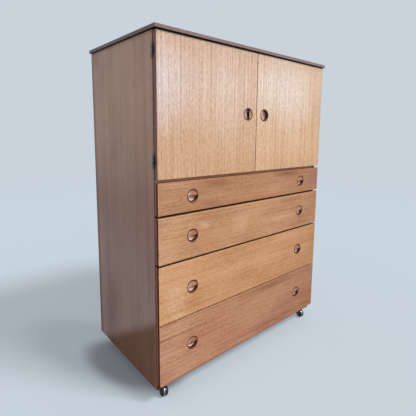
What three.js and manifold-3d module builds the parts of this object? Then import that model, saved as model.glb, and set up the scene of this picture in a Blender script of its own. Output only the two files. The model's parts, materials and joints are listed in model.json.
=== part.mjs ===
// A tall cupboard with two doors over four graduated drawers, on castors.
// Millimetres, +Z up, doors facing -Y. The origin is on the floor under the middle of the top board.

import * as THREE from "three";
import { mergeVertices } from "three/addons/utils/BufferGeometryUtils.js";
import Module from "manifold-3d";

const wasm = await Module();
wasm.setup();

// Carcass
const carcassWidth = 860;
const carcassDepth = 462;
const sideHeight = 1155;
const sideThickness = 18;
const topThickness = 12;
const topSideOverhang = 8;
const topFrontOverhang = 6;
const bottomThickness = 18;
const dividerThickness = 16;
const backThickness = 4;
const backLap = 9;
const shelfThickness = 15;
const shelfSetback = 20;
const shelfHeightShare = 0.5;
const bearerWidth = 12;
const bearerHeight = 18;
const glueLine = 0.1;
const cutOverrun = 5;

// Doors and drawer fronts
const frontThickness = 18;
const frontStandoff = 3;
const doorGap = 2;
const doorTopGap = 2.5;
const frontLift = 25;
const drawerFront1 = 102.5;
const drawerFront2 = 152;
const drawerFront3 = 197;
const drawerFront4 = 209.5;
const gapOver1 = 10.5;
const gapOver2 = 8;
const gapOver3 = 6;
const gapOver4 = 4;

// Drawer boxes and the runners that carry them
const boxWall = 12;
const boxRunningGap = 3;
const boxRearGap = 15;
const boxDrop = 10;
const boxTopInset = 18;
const panelThickness = 4;
const panelLift = 8;
const panelGroove = 5;
const panelClearance = 0.3;
const runnerHeight = 16;
const runnerEngagement = 5.5;
const runnerSideClearance = 0.5;
const runnerTopClearance = 0.3;
const runnerBottomClearance = 1.2;
const runnerFrontSetback = 5;
const runnerRearSetback = 57;

// Turned handles let into the fronts
const handleRadius = 24;
const dishRadius = 18.5;
const rimHeight = 3;
const dishDepth = 3;
const lipThickness = 3;
const insertRadius = 20.5;
const insertClearance = 0.3;
const insertInset = 1;
const pocketFloor = 5.5;
const pocketWall = 2;
const lipUndercut = 8;
const doorLipFromCentre = 8.5;
const handleFromSide = 132.5;
const handleFromCentre = 44.5;
const doorHandleDrop = 5;

// Butt hinges, whose barrels stand just outside the side panels
const hingeLength = 45;
const hingeFromDoorEnd = 56;
const leafReach = 16.5;
const leafGap = 0.2;
const barrelRadius = 3.3;
const barrelGap = 0.25;
const pinRadius = 1.3;
const pinClearance = 0.3;
const knuckleGap = 0.3;
const middleKnuckleShare = 0.38;

// Magnetic catch behind the meeting edges of the doors
const catchWidth = 52;
const catchHeight = 14;
const catchDepth = 18;
const catchGap = 0.5;
const catchChamfer = 3;

// Twin-wheel castors
const wheelRadius = 17;
const wheelSetHalfWidth = 15;
const treadHalfWidth = 6;
const webThickness = 5;
const webSideGap = 0.5;
const webRadius = 15;
const axleRadius = 3;
const axleClearance = 0.3;
const castorTrail = 8;
const riserWidth = 10;
const neckRadius = 6;
const neckHeight = 5.7;
const wheelTopGap = 1;
const shoulderRadius = 10;
const shoulderThickness = 2;
const swivelGap = 0.3;
const stemRadius = 4;
const stemLength = 15;
const stemClearance = 0.3;
const castorFromSide = 37;
const castorFromFront = 22;
const castorFromRear = 40;
const frontLeftHeading = THREE.MathUtils.degToRad(-105);
const frontRightHeading = THREE.MathUtils.degToRad(-101);
const rearLeftHeading = THREE.MathUtils.degToRad(60);
const rearRightHeading = THREE.MathUtils.degToRad(115);

// Roundness of turned pieces
const handleSegments = 24;
const rimSteps = 3;
const dishSteps = 2;
const wheelSegments = 20;
const domeSteps = 3;
const pinSegments = 12;
const stemSegments = 12;

// Levels and planes that the pieces share
const castorHeight = 2 * wheelRadius + wheelTopGap + neckHeight + shoulderThickness + swivelGap;
const carcassTop = castorHeight + sideHeight;
const topDepth = topFrontOverhang + frontThickness + frontStandoff + carcassDepth;
const backY = topDepth / 2;
const backPanelY = backY - backThickness;
const carcassFrontY = backY - carcassDepth;
const frontBackY = carcassFrontY - frontStandoff;
const frontFaceY = frontBackY - frontThickness;
const outerHalf = carcassWidth / 2;
const innerHalf = outerHalf - sideThickness;
const pinOffset = Math.sqrt(barrelRadius ** 2 - (frontStandoff / 2) ** 2) + barrelGap;
const sides = [
  ["left", -1],
  ["right", 1],
];

// The drawers from the lowest up, each with the height of its front's lower edge
function stackDrawers() {
  const rows = [
    { number: 4, height: drawerFront4, gap: gapOver4 },
    { number: 3, height: drawerFront3, gap: gapOver3 },
    { number: 2, height: drawerFront2, gap: gapOver2 },
    { number: 1, height: drawerFront1, gap: gapOver1 },
  ];
  let level = castorHeight + frontLift;
  for (const row of rows) {
    row.low = level;
    level += row.height + row.gap;
  }
  return rows;
}
const drawers = stackDrawers();
const topDrawer = drawers[drawers.length - 1];
const doorLow = topDrawer.low + topDrawer.height + topDrawer.gap;
const doorHigh = carcassTop - doorTopGap;
const dividerMiddle = doorLow - topDrawer.gap / 2;
const dividerTop = dividerMiddle + dividerThickness / 2;
const shelfLow = dividerTop + (carcassTop - dividerTop) * shelfHeightShare;

// Materials
const finish = (color, roughness, metalness) => () =>
  new THREE.MeshStandardMaterial({ color, roughness, metalness });
const sideVeneer = finish(0x8a6f62, 0.5, 0);
const topVeneer = finish(0x7a5a52, 0.45, 0);
const doorVeneer = finish(0xd9b394, 0.45, 0);
const drawerVeneer = finish(0xc5987a, 0.45, 0);
const innerBoard = finish(0x9c7a5e, 0.6, 0);
const hardboard = finish(0x7d5f48, 0.75, 0);
const drawerTimber = finish(0xc9ad86, 0.6, 0);
const runnerTimber = finish(0xb89a74, 0.6, 0);
const turnedTimber = finish(0x7a4a33, 0.4, 0);
const hingeSteel = finish(0x6e6a66, 0.4, 0.9);
const catchPlastic = finish(0xe6e1d6, 0.45, 0);
const castorPlate = finish(0xb9bec2, 0.25, 0.95);
const castorBlack = finish(0x17181a, 0.35, 0);

// Solids and meshes
function solidOf(geometry) {
  const bare = geometry.clone();
  bare.deleteAttribute("normal");
  bare.deleteAttribute("uv");
  const merged = mergeVertices(bare);
  const parts = {
    numProp: 3,
    vertProperties: merged.attributes.position.array,
    triVerts: new Uint32Array(merged.index.array),
  };
  return new wasm.Manifold(new wasm.Mesh(parts));
}

function geometryOf(solid) {
  const made = solid.getMesh();
  const geometry = new THREE.BufferGeometry();
  geometry.setAttribute("position", new THREE.BufferAttribute(made.vertProperties, 3));
  geometry.setIndex(new THREE.BufferAttribute(made.triVerts, 1));
  geometry.computeVertexNormals();
  return geometry;
}

function join(...geometries) {
  return geometryOf(geometries.map(solidOf).reduce((all, next) => all.add(next)));
}

function cut(geometry, ...tools) {
  return geometryOf(tools.map(solidOf).reduce((left, tool) => left.subtract(tool), solidOf(geometry)));
}

function namedMesh(name, geometry, material, x, y, z) {
  const mesh = new THREE.Mesh(geometry, material());
  mesh.name = name;
  mesh.position.set(x, y, z);
  return mesh;
}

// A box between two corners, as geometry in place
function boxBetween([x0, y0, z0], [x1, y1, z1]) {
  const box = new THREE.BoxGeometry(x1 - x0, y1 - y0, z1 - z0);
  return box.translate((x0 + x1) / 2, (y0 + y1) / 2, (z0 + z1) / 2);
}

// A plain board between two corners, as a mesh with its own place
function board(name, material, [x0, y0, z0], [x1, y1, z1]) {
  const box = new THREE.BoxGeometry(x1 - x0, y1 - y0, z1 - z0);
  return namedMesh(name, box, material, (x0 + x1) / 2, (y0 + y1) / 2, (z0 + z1) / 2);
}

function roundBar(radius, low, high, segments) {
  const bar = new THREE.CylinderGeometry(radius, radius, high - low, segments);
  return bar.rotateX(Math.PI / 2).translate(0, 0, (low + high) / 2);
}

function outline(points) {
  return new THREE.Shape(points.map(([x, y]) => new THREE.Vector2(x, y)));
}

// Side panel: its plan outline, with the rebate for the back, carried up its height
function sidePanel(name, side) {
  const rebate = backThickness + glueLine;
  const plan = outline([
    [side * outerHalf, carcassFrontY],
    [side * innerHalf, carcassFrontY],
    [side * innerHalf, backY - rebate],
    [side * (outerHalf - sideThickness + backLap), backY - rebate],
    [side * (outerHalf - sideThickness + backLap), backY],
    [side * outerHalf, backY],
  ]);
  const panel = new THREE.ExtrudeGeometry(plan, { depth: sideHeight, bevelEnabled: false });
  return namedMesh(`side_panel_${name}`, panel, sideVeneer, 0, 0, castorHeight);
}

function topBoard() {
  const half = outerHalf + topSideOverhang;
  const low = [-half, -backY, carcassTop + glueLine];
  return board("top_board", topVeneer, low, [half, backY, carcassTop + glueLine + topThickness]);
}

// Bottom board, bored for the stems of the four castors
function bottomBoard() {
  const half = innerHalf - glueLine;
  const low = [-half, carcassFrontY, castorHeight];
  const high = [half, backPanelY - glueLine, castorHeight + bottomThickness];
  const bores = castorPlaces().map(({ x, y }) => {
    const top = castorHeight + stemLength + cutOverrun;
    const bore = roundBar(stemRadius + stemClearance, castorHeight - cutOverrun, top, stemSegments);
    return bore.translate(x, y, 0);
  });
  return namedMesh("bottom_board", cut(boxBetween(low, high), ...bores), innerBoard, 0, 0, 0);
}

function dividerBoard() {
  const half = innerHalf - glueLine;
  const low = [-half, carcassFrontY, dividerTop - dividerThickness];
  return board("divider_board", innerBoard, low, [half, backPanelY - glueLine, dividerTop]);
}

function backPanel() {
  const half = innerHalf + backLap - glueLine;
  const low = [-half, backPanelY, castorHeight];
  return board("back_panel", hardboard, low, [half, backY, carcassTop]);
}

function shelf() {
  const half = innerHalf - panelClearance;
  const low = [-half, carcassFrontY + shelfSetback, shelfLow];
  return board("shelf", innerBoard, low, [half, backPanelY - panelClearance, shelfLow + shelfThickness]);
}

function shelfBearer(name, side) {
  const inner = side * (innerHalf - glueLine - bearerWidth);
  const outer = side * (innerHalf - glueLine);
  const low = [Math.min(inner, outer), carcassFrontY + shelfSetback, shelfLow - glueLine - bearerHeight];
  const high = [Math.max(inner, outer), backPanelY - glueLine, shelfLow - glueLine];
  return board(`shelf_bearer_${name}`, innerBoard, low, high);
}

// Catch under the top board: a block with a sloped lower back edge, drawn in its side view
function doorCatch() {
  const front = frontBackY + catchGap;
  const side = outline([
    [front, carcassTop],
    [front, carcassTop - catchHeight],
    [front + catchDepth - catchChamfer, carcassTop - catchHeight],
    [front + catchDepth, carcassTop - catchHeight + catchChamfer],
    [front + catchDepth, carcassTop],
  ]);
  const block = new THREE.ExtrudeGeometry(side, { depth: catchWidth, bevelEnabled: false });
  const turned = block.rotateX(Math.PI / 2).rotateZ(Math.PI / 2);
  return namedMesh("door_catch", turned, catchPlastic, -catchWidth / 2, 0, 0);
}

// A front board, standing in its own XZ plane, with a round hole for each handle
function frontGeometry(x0, x1, z0, z1, holes) {
  const face = outline([
    [x0, z0],
    [x1, z0],
    [x1, z1],
    [x0, z1],
  ]);
  for (const [x, z] of holes) {
    const hole = new THREE.Path();
    hole.absarc(x, z, insertRadius + insertClearance, 0, 2 * Math.PI);
    face.holes.push(hole);
  }
  const settings = { depth: frontThickness, bevelEnabled: false, curveSegments: handleSegments / 2 };
  return new THREE.ExtrudeGeometry(face, settings).rotateX(Math.PI / 2);
}

// The turned blank of a handle: a proud round rim about a shallow dish, and the insert behind it
function handleBlank() {
  const rimMiddle = (handleRadius + dishRadius) / 2;
  const rimHalf = (handleRadius - dishRadius) / 2;
  const insertDepth = frontThickness - insertInset;
  const profile = [new THREE.Vector2(0, insertDepth), new THREE.Vector2(insertRadius, insertDepth)];
  profile.push(new THREE.Vector2(insertRadius, -glueLine));
  profile.push(new THREE.Vector2(handleRadius, -glueLine));
  for (let step = 1; step <= rimSteps; step++) {
    const angle = (Math.PI * step) / rimSteps;
    const lift = glueLine + (rimHeight - glueLine) * Math.sin(angle);
    profile.push(new THREE.Vector2(rimMiddle + rimHalf * Math.cos(angle), -lift));
  }
  for (let step = 1; step <= dishSteps; step++) {
    const share = 1 - step / dishSteps;
    profile.push(new THREE.Vector2(dishRadius * share, dishDepth * (1 - share * share) - glueLine * share));
  }
  return new THREE.LatheGeometry(profile.reverse(), handleSegments);
}

// The part of a disc below a level line, carried from one depth to another
function discBelow(radius, level, near, far) {
  const angle = Math.asin(level / radius);
  const shape = new THREE.Shape();
  shape.absarc(0, 0, radius, angle, Math.PI - angle, true);
  const settings = { depth: far - near, bevelEnabled: false, curveSegments: handleSegments / 2 };
  return new THREE.ExtrudeGeometry(shape, settings).rotateX(Math.PI / 2).translate(0, far, 0);
}

// Handle: past a level line the dish is a lip, and the rest opens into a pocket that runs behind it
function handleGeometry(lipFromCentre) {
  const pocketRadius = dishRadius - pocketWall / 2;
  const pocketDepth = frontThickness - insertInset - pocketFloor;
  const undercutEnd = lipFromCentre + (lipUndercut * (pocketRadius - lipFromCentre)) / pocketRadius;
  const mouth = discBelow(pocketRadius, lipFromCentre, -rimHeight - cutOverrun, pocketDepth);
  const undercut = discBelow(pocketRadius, undercutEnd, dishDepth + lipThickness, pocketDepth);
  return cut(handleBlank(), mouth, undercut);
}

function handle(name, x, z, turn, lipFromCentre) {
  const mesh = namedMesh(name, handleGeometry(lipFromCentre), turnedTimber, x, frontFaceY, z);
  mesh.rotation.y = turn;
  return mesh;
}

// Door with its handle: the handle's lip is towards the meeting edges
function door(name, side) {
  const hung = side * outerHalf;
  const meeting = (side * doorGap) / 2;
  const handleX = side * handleFromCentre;
  const handleZ = (doorLow + doorHigh) / 2 - doorHandleDrop;
  const edges = [Math.min(hung, meeting), Math.max(hung, meeting)];
  const panel = frontGeometry(...edges, doorLow, doorHigh, [[handleX, handleZ]]);
  return [
    namedMesh(`door_${name}`, panel, doorVeneer, 0, frontBackY, 0),
    handle(`door_handle_${name}`, handleX, handleZ, (-side * Math.PI) / 2, doorLipFromCentre),
  ];
}

// Drawer box: sides and back in one frame, grooved outside for the runners and inside for the bottom
function drawerBox(row) {
  const outer = innerHalf - boxRunningGap;
  const inner = outer - boxWall;
  const front = frontBackY + glueLine;
  const rear = backPanelY - boxRearGap;
  const low = row.low + boxDrop;
  const height = row.height - boxDrop - boxTopInset;
  const plan = outline([
    [-outer, front],
    [-inner, front],
    [-inner, rear - boxWall],
    [inner, rear - boxWall],
    [inner, front],
    [outer, front],
    [outer, rear],
    [-outer, rear],
  ]);
  const upright = { depth: height, bevelEnabled: false };
  const frame = new THREE.ExtrudeGeometry(plan, upright).translate(0, 0, low);
  const tools = sides.map(([, side]) => {
    const bed = side * (innerHalf - boxRunningGap - runnerEngagement - runnerSideClearance);
    const open = side * (outer + cutOverrun);
    const span = runnerSpan(row);
    return boxBetween(
      [Math.min(bed, open), span.front - runnerTopClearance, span.low - runnerBottomClearance],
      [Math.max(bed, open), rear + cutOverrun, span.high + runnerTopClearance],
    );
  });
  const slot = inner + panelGroove;
  const slotLow = low + panelLift - panelClearance;
  const slotHigh = low + panelLift + panelThickness + panelClearance;
  const slotEnds = [front - cutOverrun, rear - boxWall + panelGroove];
  tools.push(boxBetween([-slot, slotEnds[0], slotLow], [slot, slotEnds[1], slotHigh]));
  return namedMesh(`drawer_${row.number}_box`, cut(frame, ...tools), drawerTimber, 0, 0, 0);
}

function drawerBottom(row) {
  const half = innerHalf - boxRunningGap - boxWall + panelGroove - panelClearance;
  const rear = backPanelY - boxRearGap - boxWall + panelGroove - panelClearance;
  const low = row.low + boxDrop + panelLift;
  const corners = [
    [-half, frontBackY + glueLine, low],
    [half, rear, low + panelThickness],
  ];
  return board(`drawer_${row.number}_bottom`, hardboard, ...corners);
}

// Where a drawer's runners lie: level with the middle of its box
function runnerSpan(row) {
  const middle = row.low + boxDrop + (row.height - boxDrop - boxTopInset) / 2;
  return {
    front: carcassFrontY + runnerFrontSetback,
    rear: backY - runnerRearSetback,
    low: middle - runnerHeight / 2,
    high: middle + runnerHeight / 2,
  };
}

function runner(row, name, side) {
  const span = runnerSpan(row);
  const wall = side * (innerHalf - glueLine);
  const nose = side * (innerHalf - boxRunningGap - runnerEngagement);
  const low = [Math.min(wall, nose), span.front, span.low];
  const high = [Math.max(wall, nose), span.rear, span.high];
  return board(`runner_${row.number}_${name}`, runnerTimber, low, high);
}

function drawer(row) {
  const middle = row.low + row.height / 2;
  const places = sides.map(([name, side]) => [name, side * (outerHalf - handleFromSide)]);
  const holes = places.map(([, x]) => [x, middle]);
  const panel = frontGeometry(-outerHalf, outerHalf, row.low, row.low + row.height, holes);
  return [
    namedMesh(`drawer_${row.number}_front`, panel, drawerVeneer, 0, frontBackY, 0),
    drawerBox(row),
    drawerBottom(row),
    ...places.map(([name, x]) => handle(`drawer_${row.number}_handle_${name}`, x, middle, 0, 0)),
    ...sides.map(([name, side]) => runner(row, name, side)),
  ];
}

// Hinge leaves about the pin as origin: plates run in the direction of side towards the middle of the case
function leafPlate(side, reach, near, far, tabs) {
  const half = hingeLength / 2;
  const clear = barrelRadius + knuckleGap;
  const span = (a, b) => [Math.min(side * a, side * b), Math.max(side * a, side * b)];
  const [plateLow, plateHigh] = span(clear, reach);
  const [tabLow, tabHigh] = span(0, clear + knuckleGap);
  const plate = boxBetween([plateLow, near, -half], [plateHigh, far, half]);
  return [plate, ...tabs.map(([low, high]) => boxBetween([tabLow, near, low], [tabHigh, far, high]))];
}

function hingeLevels() {
  const half = hingeLength / 2;
  const middle = half * middleKnuckleShare;
  return { half, middle, end: middle + knuckleGap };
}

// Carcass leaf: a plate, the two end knuckles and the pin that joins them
function carcassLeaf(side) {
  const { half, end } = hingeLevels();
  const reach = leafReach + pinOffset;
  const far = frontStandoff / 2 - glueLine;
  const plates = leafPlate(side, reach, leafGap / 2, far, [
    [-half, -end],
    [end, half],
  ]);
  const knuckles = [
    roundBar(barrelRadius, -half, -end, pinSegments),
    roundBar(barrelRadius, end, half, pinSegments),
  ];
  return join(...plates, ...knuckles, roundBar(pinRadius, -half, half, pinSegments));
}

// Door leaf: a plate and the middle knuckle, bored for the pin
function doorLeaf(side) {
  const { half, middle } = hingeLevels();
  const reach = leafReach + pinOffset;
  const far = frontStandoff / 2 - glueLine;
  const plates = leafPlate(side, reach, -far, -leafGap / 2, [[-middle, middle]]);
  const knuckle = roundBar(barrelRadius, -middle, middle, pinSegments);
  const bore = roundBar(pinRadius + pinClearance, -half, half, pinSegments);
  return cut(join(...plates, knuckle), bore);
}

function hinge(level, z, name, side) {
  const place = [side * (outerHalf + pinOffset), carcassFrontY - frontStandoff / 2, z];
  return [
    namedMesh(`hinge_${level}_${name}_carcass_leaf`, carcassLeaf(-side), hingeSteel, ...place),
    namedMesh(`hinge_${level}_${name}_door_leaf`, doorLeaf(-side), hingeSteel, ...place),
  ];
}

function hinges() {
  const levels = [
    ["upper", doorHigh - hingeFromDoorEnd],
    ["lower", doorLow + hingeFromDoorEnd],
  ];
  return sides.flatMap(([name, side]) => levels.flatMap(([level, z]) => hinge(level, z, name, side)));
}

// The four castors: where each swivels, and the heading in which its wheels trail
function castorPlaces() {
  const x = outerHalf - castorFromSide;
  const front = carcassFrontY + castorFromFront;
  const rear = backY - castorFromRear;
  return [
    { name: "front_left", x: -x, y: front, heading: frontLeftHeading },
    { name: "front_right", x, y: front, heading: frontRightHeading },
    { name: "rear_left", x: -x, y: rear, heading: rearLeftHeading },
    { name: "rear_right", x, y: rear, heading: rearRightHeading },
  ];
}

// Castor hood: a round web between the wheels, its riser, the swivel neck, its shoulder and the stem
function hoodGeometry() {
  const web = new THREE.CylinderGeometry(webRadius, webRadius, webThickness, wheelSegments);
  web.translate(castorTrail, 0, wheelRadius);
  const neckLow = 2 * wheelRadius + wheelTopGap;
  const neckHigh = neckLow + neckHeight;
  const shoulderHigh = neckHigh + shoulderThickness;
  const riser = boxBetween(
    [-riserWidth / 2, -webThickness / 2, wheelRadius],
    [riserWidth / 2, webThickness / 2, neckLow + neckHeight / 2],
  );
  const neck = roundBar(neckRadius, neckLow, neckHigh + shoulderThickness / 2, stemSegments);
  const shoulder = roundBar(shoulderRadius, neckHigh, shoulderHigh, stemSegments);
  const stem = roundBar(stemRadius, neckHigh, castorHeight + stemLength, stemSegments);
  const boreRadius = axleRadius + axleClearance;
  const bore = new THREE.CylinderGeometry(boreRadius, boreRadius, webThickness + cutOverrun, stemSegments);
  bore.translate(castorTrail, 0, wheelRadius);
  return cut(join(web, riser, neck, shoulder, stem), bore);
}

// Wheel pair: two domed wheels on one axle, turned flats down so that the tread lies at the wheel's radius
function wheelGeometry() {
  const tread = wheelRadius / Math.cos(Math.PI / wheelSegments);
  const innerFace = webThickness / 2 + webSideGap;
  const dome = wheelSetHalfWidth - treadHalfWidth;
  const half = [new THREE.Vector2(axleRadius, innerFace), new THREE.Vector2(tread, innerFace)];
  for (let step = 0; step <= domeSteps; step++) {
    const angle = (Math.PI / 2) * (step / domeSteps);
    const radius = step === domeSteps ? 0 : tread * Math.cos(angle);
    half.push(new THREE.Vector2(radius, treadHalfWidth + dome * Math.sin(angle)));
  }
  const mirrored = half.map(({ x, y }) => new THREE.Vector2(x, -y)).reverse();
  return new THREE.LatheGeometry([...mirrored, ...half], wheelSegments, Math.PI / wheelSegments);
}

function castor({ name, x, y, heading }) {
  const swivel = new THREE.Group();
  swivel.position.set(x, y, 0);
  swivel.rotation.z = heading;
  swivel.add(namedMesh(`castor_${name}_hood`, hoodGeometry(), castorPlate, 0, 0, 0));
  swivel.add(namedMesh(`castor_${name}_wheels`, wheelGeometry(), castorBlack, castorTrail, 0, wheelRadius));
  return swivel;
}

const group = new THREE.Group();
group.add(...sides.map(([name, side]) => sidePanel(name, side)));
group.add(topBoard(), bottomBoard(), dividerBoard(), backPanel());
group.add(shelf(), ...sides.map(([name, side]) => shelfBearer(name, side)), doorCatch());
group.add(...sides.flatMap(([name, side]) => door(name, side)), ...hinges());
group.add(...drawers.flatMap(drawer));
group.add(...castorPlaces().map(castor));

export default group;
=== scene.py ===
# A cupboard with two doors over four drawers, on castors: its looks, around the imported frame.
# Metres, +Z up, the fronts face -Y, the floor is z = 0.

import json
import math

import bmesh
import bpy
import numpy as np
from mathutils import Matrix, Vector


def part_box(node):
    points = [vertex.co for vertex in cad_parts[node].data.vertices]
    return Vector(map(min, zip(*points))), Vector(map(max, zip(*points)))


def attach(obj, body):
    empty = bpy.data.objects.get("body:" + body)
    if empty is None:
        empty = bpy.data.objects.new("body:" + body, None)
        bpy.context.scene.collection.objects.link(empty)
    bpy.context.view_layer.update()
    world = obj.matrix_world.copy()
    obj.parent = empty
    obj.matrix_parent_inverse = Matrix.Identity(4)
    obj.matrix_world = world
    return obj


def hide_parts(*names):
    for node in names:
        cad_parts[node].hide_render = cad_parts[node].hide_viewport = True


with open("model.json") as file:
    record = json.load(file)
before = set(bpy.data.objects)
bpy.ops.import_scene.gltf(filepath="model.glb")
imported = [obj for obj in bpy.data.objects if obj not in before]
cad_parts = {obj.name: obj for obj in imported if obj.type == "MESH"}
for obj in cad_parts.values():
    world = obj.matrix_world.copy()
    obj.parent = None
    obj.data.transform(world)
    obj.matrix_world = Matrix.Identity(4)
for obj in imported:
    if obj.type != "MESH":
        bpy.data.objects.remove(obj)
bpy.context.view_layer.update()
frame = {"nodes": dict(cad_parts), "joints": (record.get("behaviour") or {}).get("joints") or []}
nodes = frame["nodes"]
joints = {joint["name"]: joint for joint in frame["joints"]}
sides = (("left", -1), ("right", 1))
drawerNumbers = (1, 2, 3, 4)
print("frame loaded:", len(nodes), "nodes")


def colour(red, green, blue):
    # Screen levels from 0 to 255, as the linear colour that a socket takes
    levels = np.array((red, green, blue)) / 255
    linear = np.where(levels <= 0.04045, levels / 12.92, ((levels + 0.055) / 1.055) ** 2.4)
    return (*linear.tolist(), 1.0)


# Camera

photoView = {
    "place": (-0.9620, -1.1318, 0.9060),
    "heading": 42.012,  # degrees from +Y towards +X
    "pitch": -7.737,
    "roll": 0.819,
    "focalPixels": 340.98,
    "middlePixel": (224.67, 178.23),  # where the lens axis meets the picture
    "framePixels": 416,
    "sensor": 36,
}


def makeCamera(values):
    heading, pitch, roll = (math.radians(values[key]) for key in ("heading", "pitch", "roll"))
    flat = math.cos(pitch)
    forward = Vector((math.sin(heading) * flat, math.cos(heading) * flat, math.sin(pitch)))
    level = Vector((math.cos(heading), -math.sin(heading), 0))
    above = level.cross(forward)
    right = level * math.cos(roll) + above * math.sin(roll)
    up = above * math.cos(roll) - level * math.sin(roll)
    data = bpy.data.cameras.new("camera")
    data.sensor_width = values["sensor"]
    data.lens = values["sensor"] * values["focalPixels"] / values["framePixels"]
    data.shift_x = 0.5 - values["middlePixel"][0] / values["framePixels"]
    data.shift_y = values["middlePixel"][1] / values["framePixels"] - 0.5
    camera = bpy.data.objects.new("camera", data)
    turn = Matrix((right, up, -forward)).transposed()
    camera.matrix_world = Matrix.Translation(values["place"]) @ turn.to_4x4()
    bpy.context.scene.collection.objects.link(camera)
    bpy.context.scene.camera = camera


makeCamera(photoView)
print("camera placed")


# Shader trees


def setInputs(tree, made, inputs):
    # Each input is a plain value or another node's output
    for key, value in inputs.items():
        if isinstance(value, bpy.types.NodeSocket):
            tree.links.new(value, made.inputs[key])
        else:
            made.inputs[key].default_value = value


def addNode(tree, kind, inputs, output=0, **settings):
    made = tree.nodes.new(kind)
    for name, value in settings.items():
        setattr(made, name, value)
    setInputs(tree, made, inputs)
    return made.outputs[output]


def calc(tree, operation, first, second=0.0, clamp=False):
    inputs = {0: first, 1: second}
    return addNode(tree, "ShaderNodeMath", inputs, operation=operation, use_clamp=clamp)


def vectorCalc(tree, operation, first, second=(0, 0, 0)):
    # A length or a dot product is a number, the others give a vector
    output = "Value" if operation in ("LENGTH", "DOT_PRODUCT") else "Vector"
    return addNode(tree, "ShaderNodeVectorMath", {0: first, 1: second}, output, operation=operation)


def summed(tree, start, *parts):
    # The start plus each part's value times its weight
    for value, weight in parts:
        start = calc(tree, "ADD", start, calc(tree, "MULTIPLY", value, weight))
    return start


def noise(tree, vector, scale, detail, roughness):
    inputs = {"Vector": vector, "Scale": scale, "Detail": detail, "Roughness": roughness, "Distortion": 0.0}
    return addNode(tree, "ShaderNodeTexNoise", inputs)


def centred(tree, value):
    # From about a half, where noise lies, to about zero
    return calc(tree, "SUBTRACT", value, 0.5)


def stretched(tree, vector, scale):
    return addNode(tree, "ShaderNodeMapping", {"Vector": vector, "Scale": scale})


def ownPlace(tree):
    return addNode(tree, "ShaderNodeTexCoord", {}, "Object")


def remap(tree, value, low, high, toLow=0.0, toHigh=1.0, smooth=False):
    inputs = {0: value, 1: low, 2: high, 3: toLow, 4: toHigh}
    kind = "SMOOTHSTEP" if smooth else "LINEAR"
    return addNode(tree, "ShaderNodeMapRange", inputs, interpolation_type=kind)


def mixed(tree, share, first, second):
    inputs = {0: share, 6: first, 7: second}
    return addNode(tree, "ShaderNodeMix", inputs, 2, data_type="RGBA", blend_type="MIX")


def parted(tree, vector):
    made = tree.nodes.new("ShaderNodeSeparateXYZ")
    tree.links.new(vector, made.inputs[0])
    return made.outputs


def joined(tree, x, y, z):
    return addNode(tree, "ShaderNodeCombineXYZ", {0: x, 1: y, 2: z})


def newGroup(name, inputs, outputs):
    # A node group with named sockets; returns its tree, what it is given and where its results go
    tree = bpy.data.node_groups.new(name, "ShaderNodeTree")
    for direction, sockets in (("INPUT", inputs), ("OUTPUT", outputs)):
        for label, kind in sockets.items():
            socketKind = "NodeSocket" + kind
            tree.interface.new_socket(name=label, in_out=direction, socket_type=socketKind)
    return tree, tree.nodes.new("NodeGroupInput").outputs, tree.nodes.new("NodeGroupOutput").inputs


def useGroup(tree, group, inputs):
    made = tree.nodes.new("ShaderNodeGroup")
    made.node_tree = group
    setInputs(tree, made, inputs)
    return made.outputs


# Wood grain: its vector's X runs along the grain, in metres. A layer is a noise: how often it changes along,
# across and through the grain, its detail and its roughness
grain = {
    "drift": ((1.0, 3.0, 3.0), 2.0, 0.5),  # makes the streaks wander
    "driftBy": 0.008,
    "bands": ((0.5, 26, 26), 3.0, 0.55),
    "streaks": ((1.6, 210, 210), 3.0, 0.6),
    "fibres": ((90, 330, 330), 2.0, 0.55),
    "patches": ((4.2, 8.5, 8.5), 2.0, 0.55),
    "pores": ((60, 1500, 1500), 1.0, 0.5),
    "poreLow": 0.58,
    "poreHigh": 0.66,
    "ringStretch": (0.13, 1, 0),  # draws a cathedral's arches out along the grain
    "ringCount": 62,  # rings a metre across the grain
    "ringWobble": ((1.3, 12, 12), 2.0, 0.5),
    "ringWobbleBy": 1.6,
    "streaksRougher": 0.25,
    "poresRougher": 0.2,
    "fibresRaised": 0.5,
    "poresSunk": 0.8,
    "palest": 250,
    "darkest": 12,
}
grainStrengths = ("Bands", "Streaks", "Fibres", "Pores", "Rings", "Patches")


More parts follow.
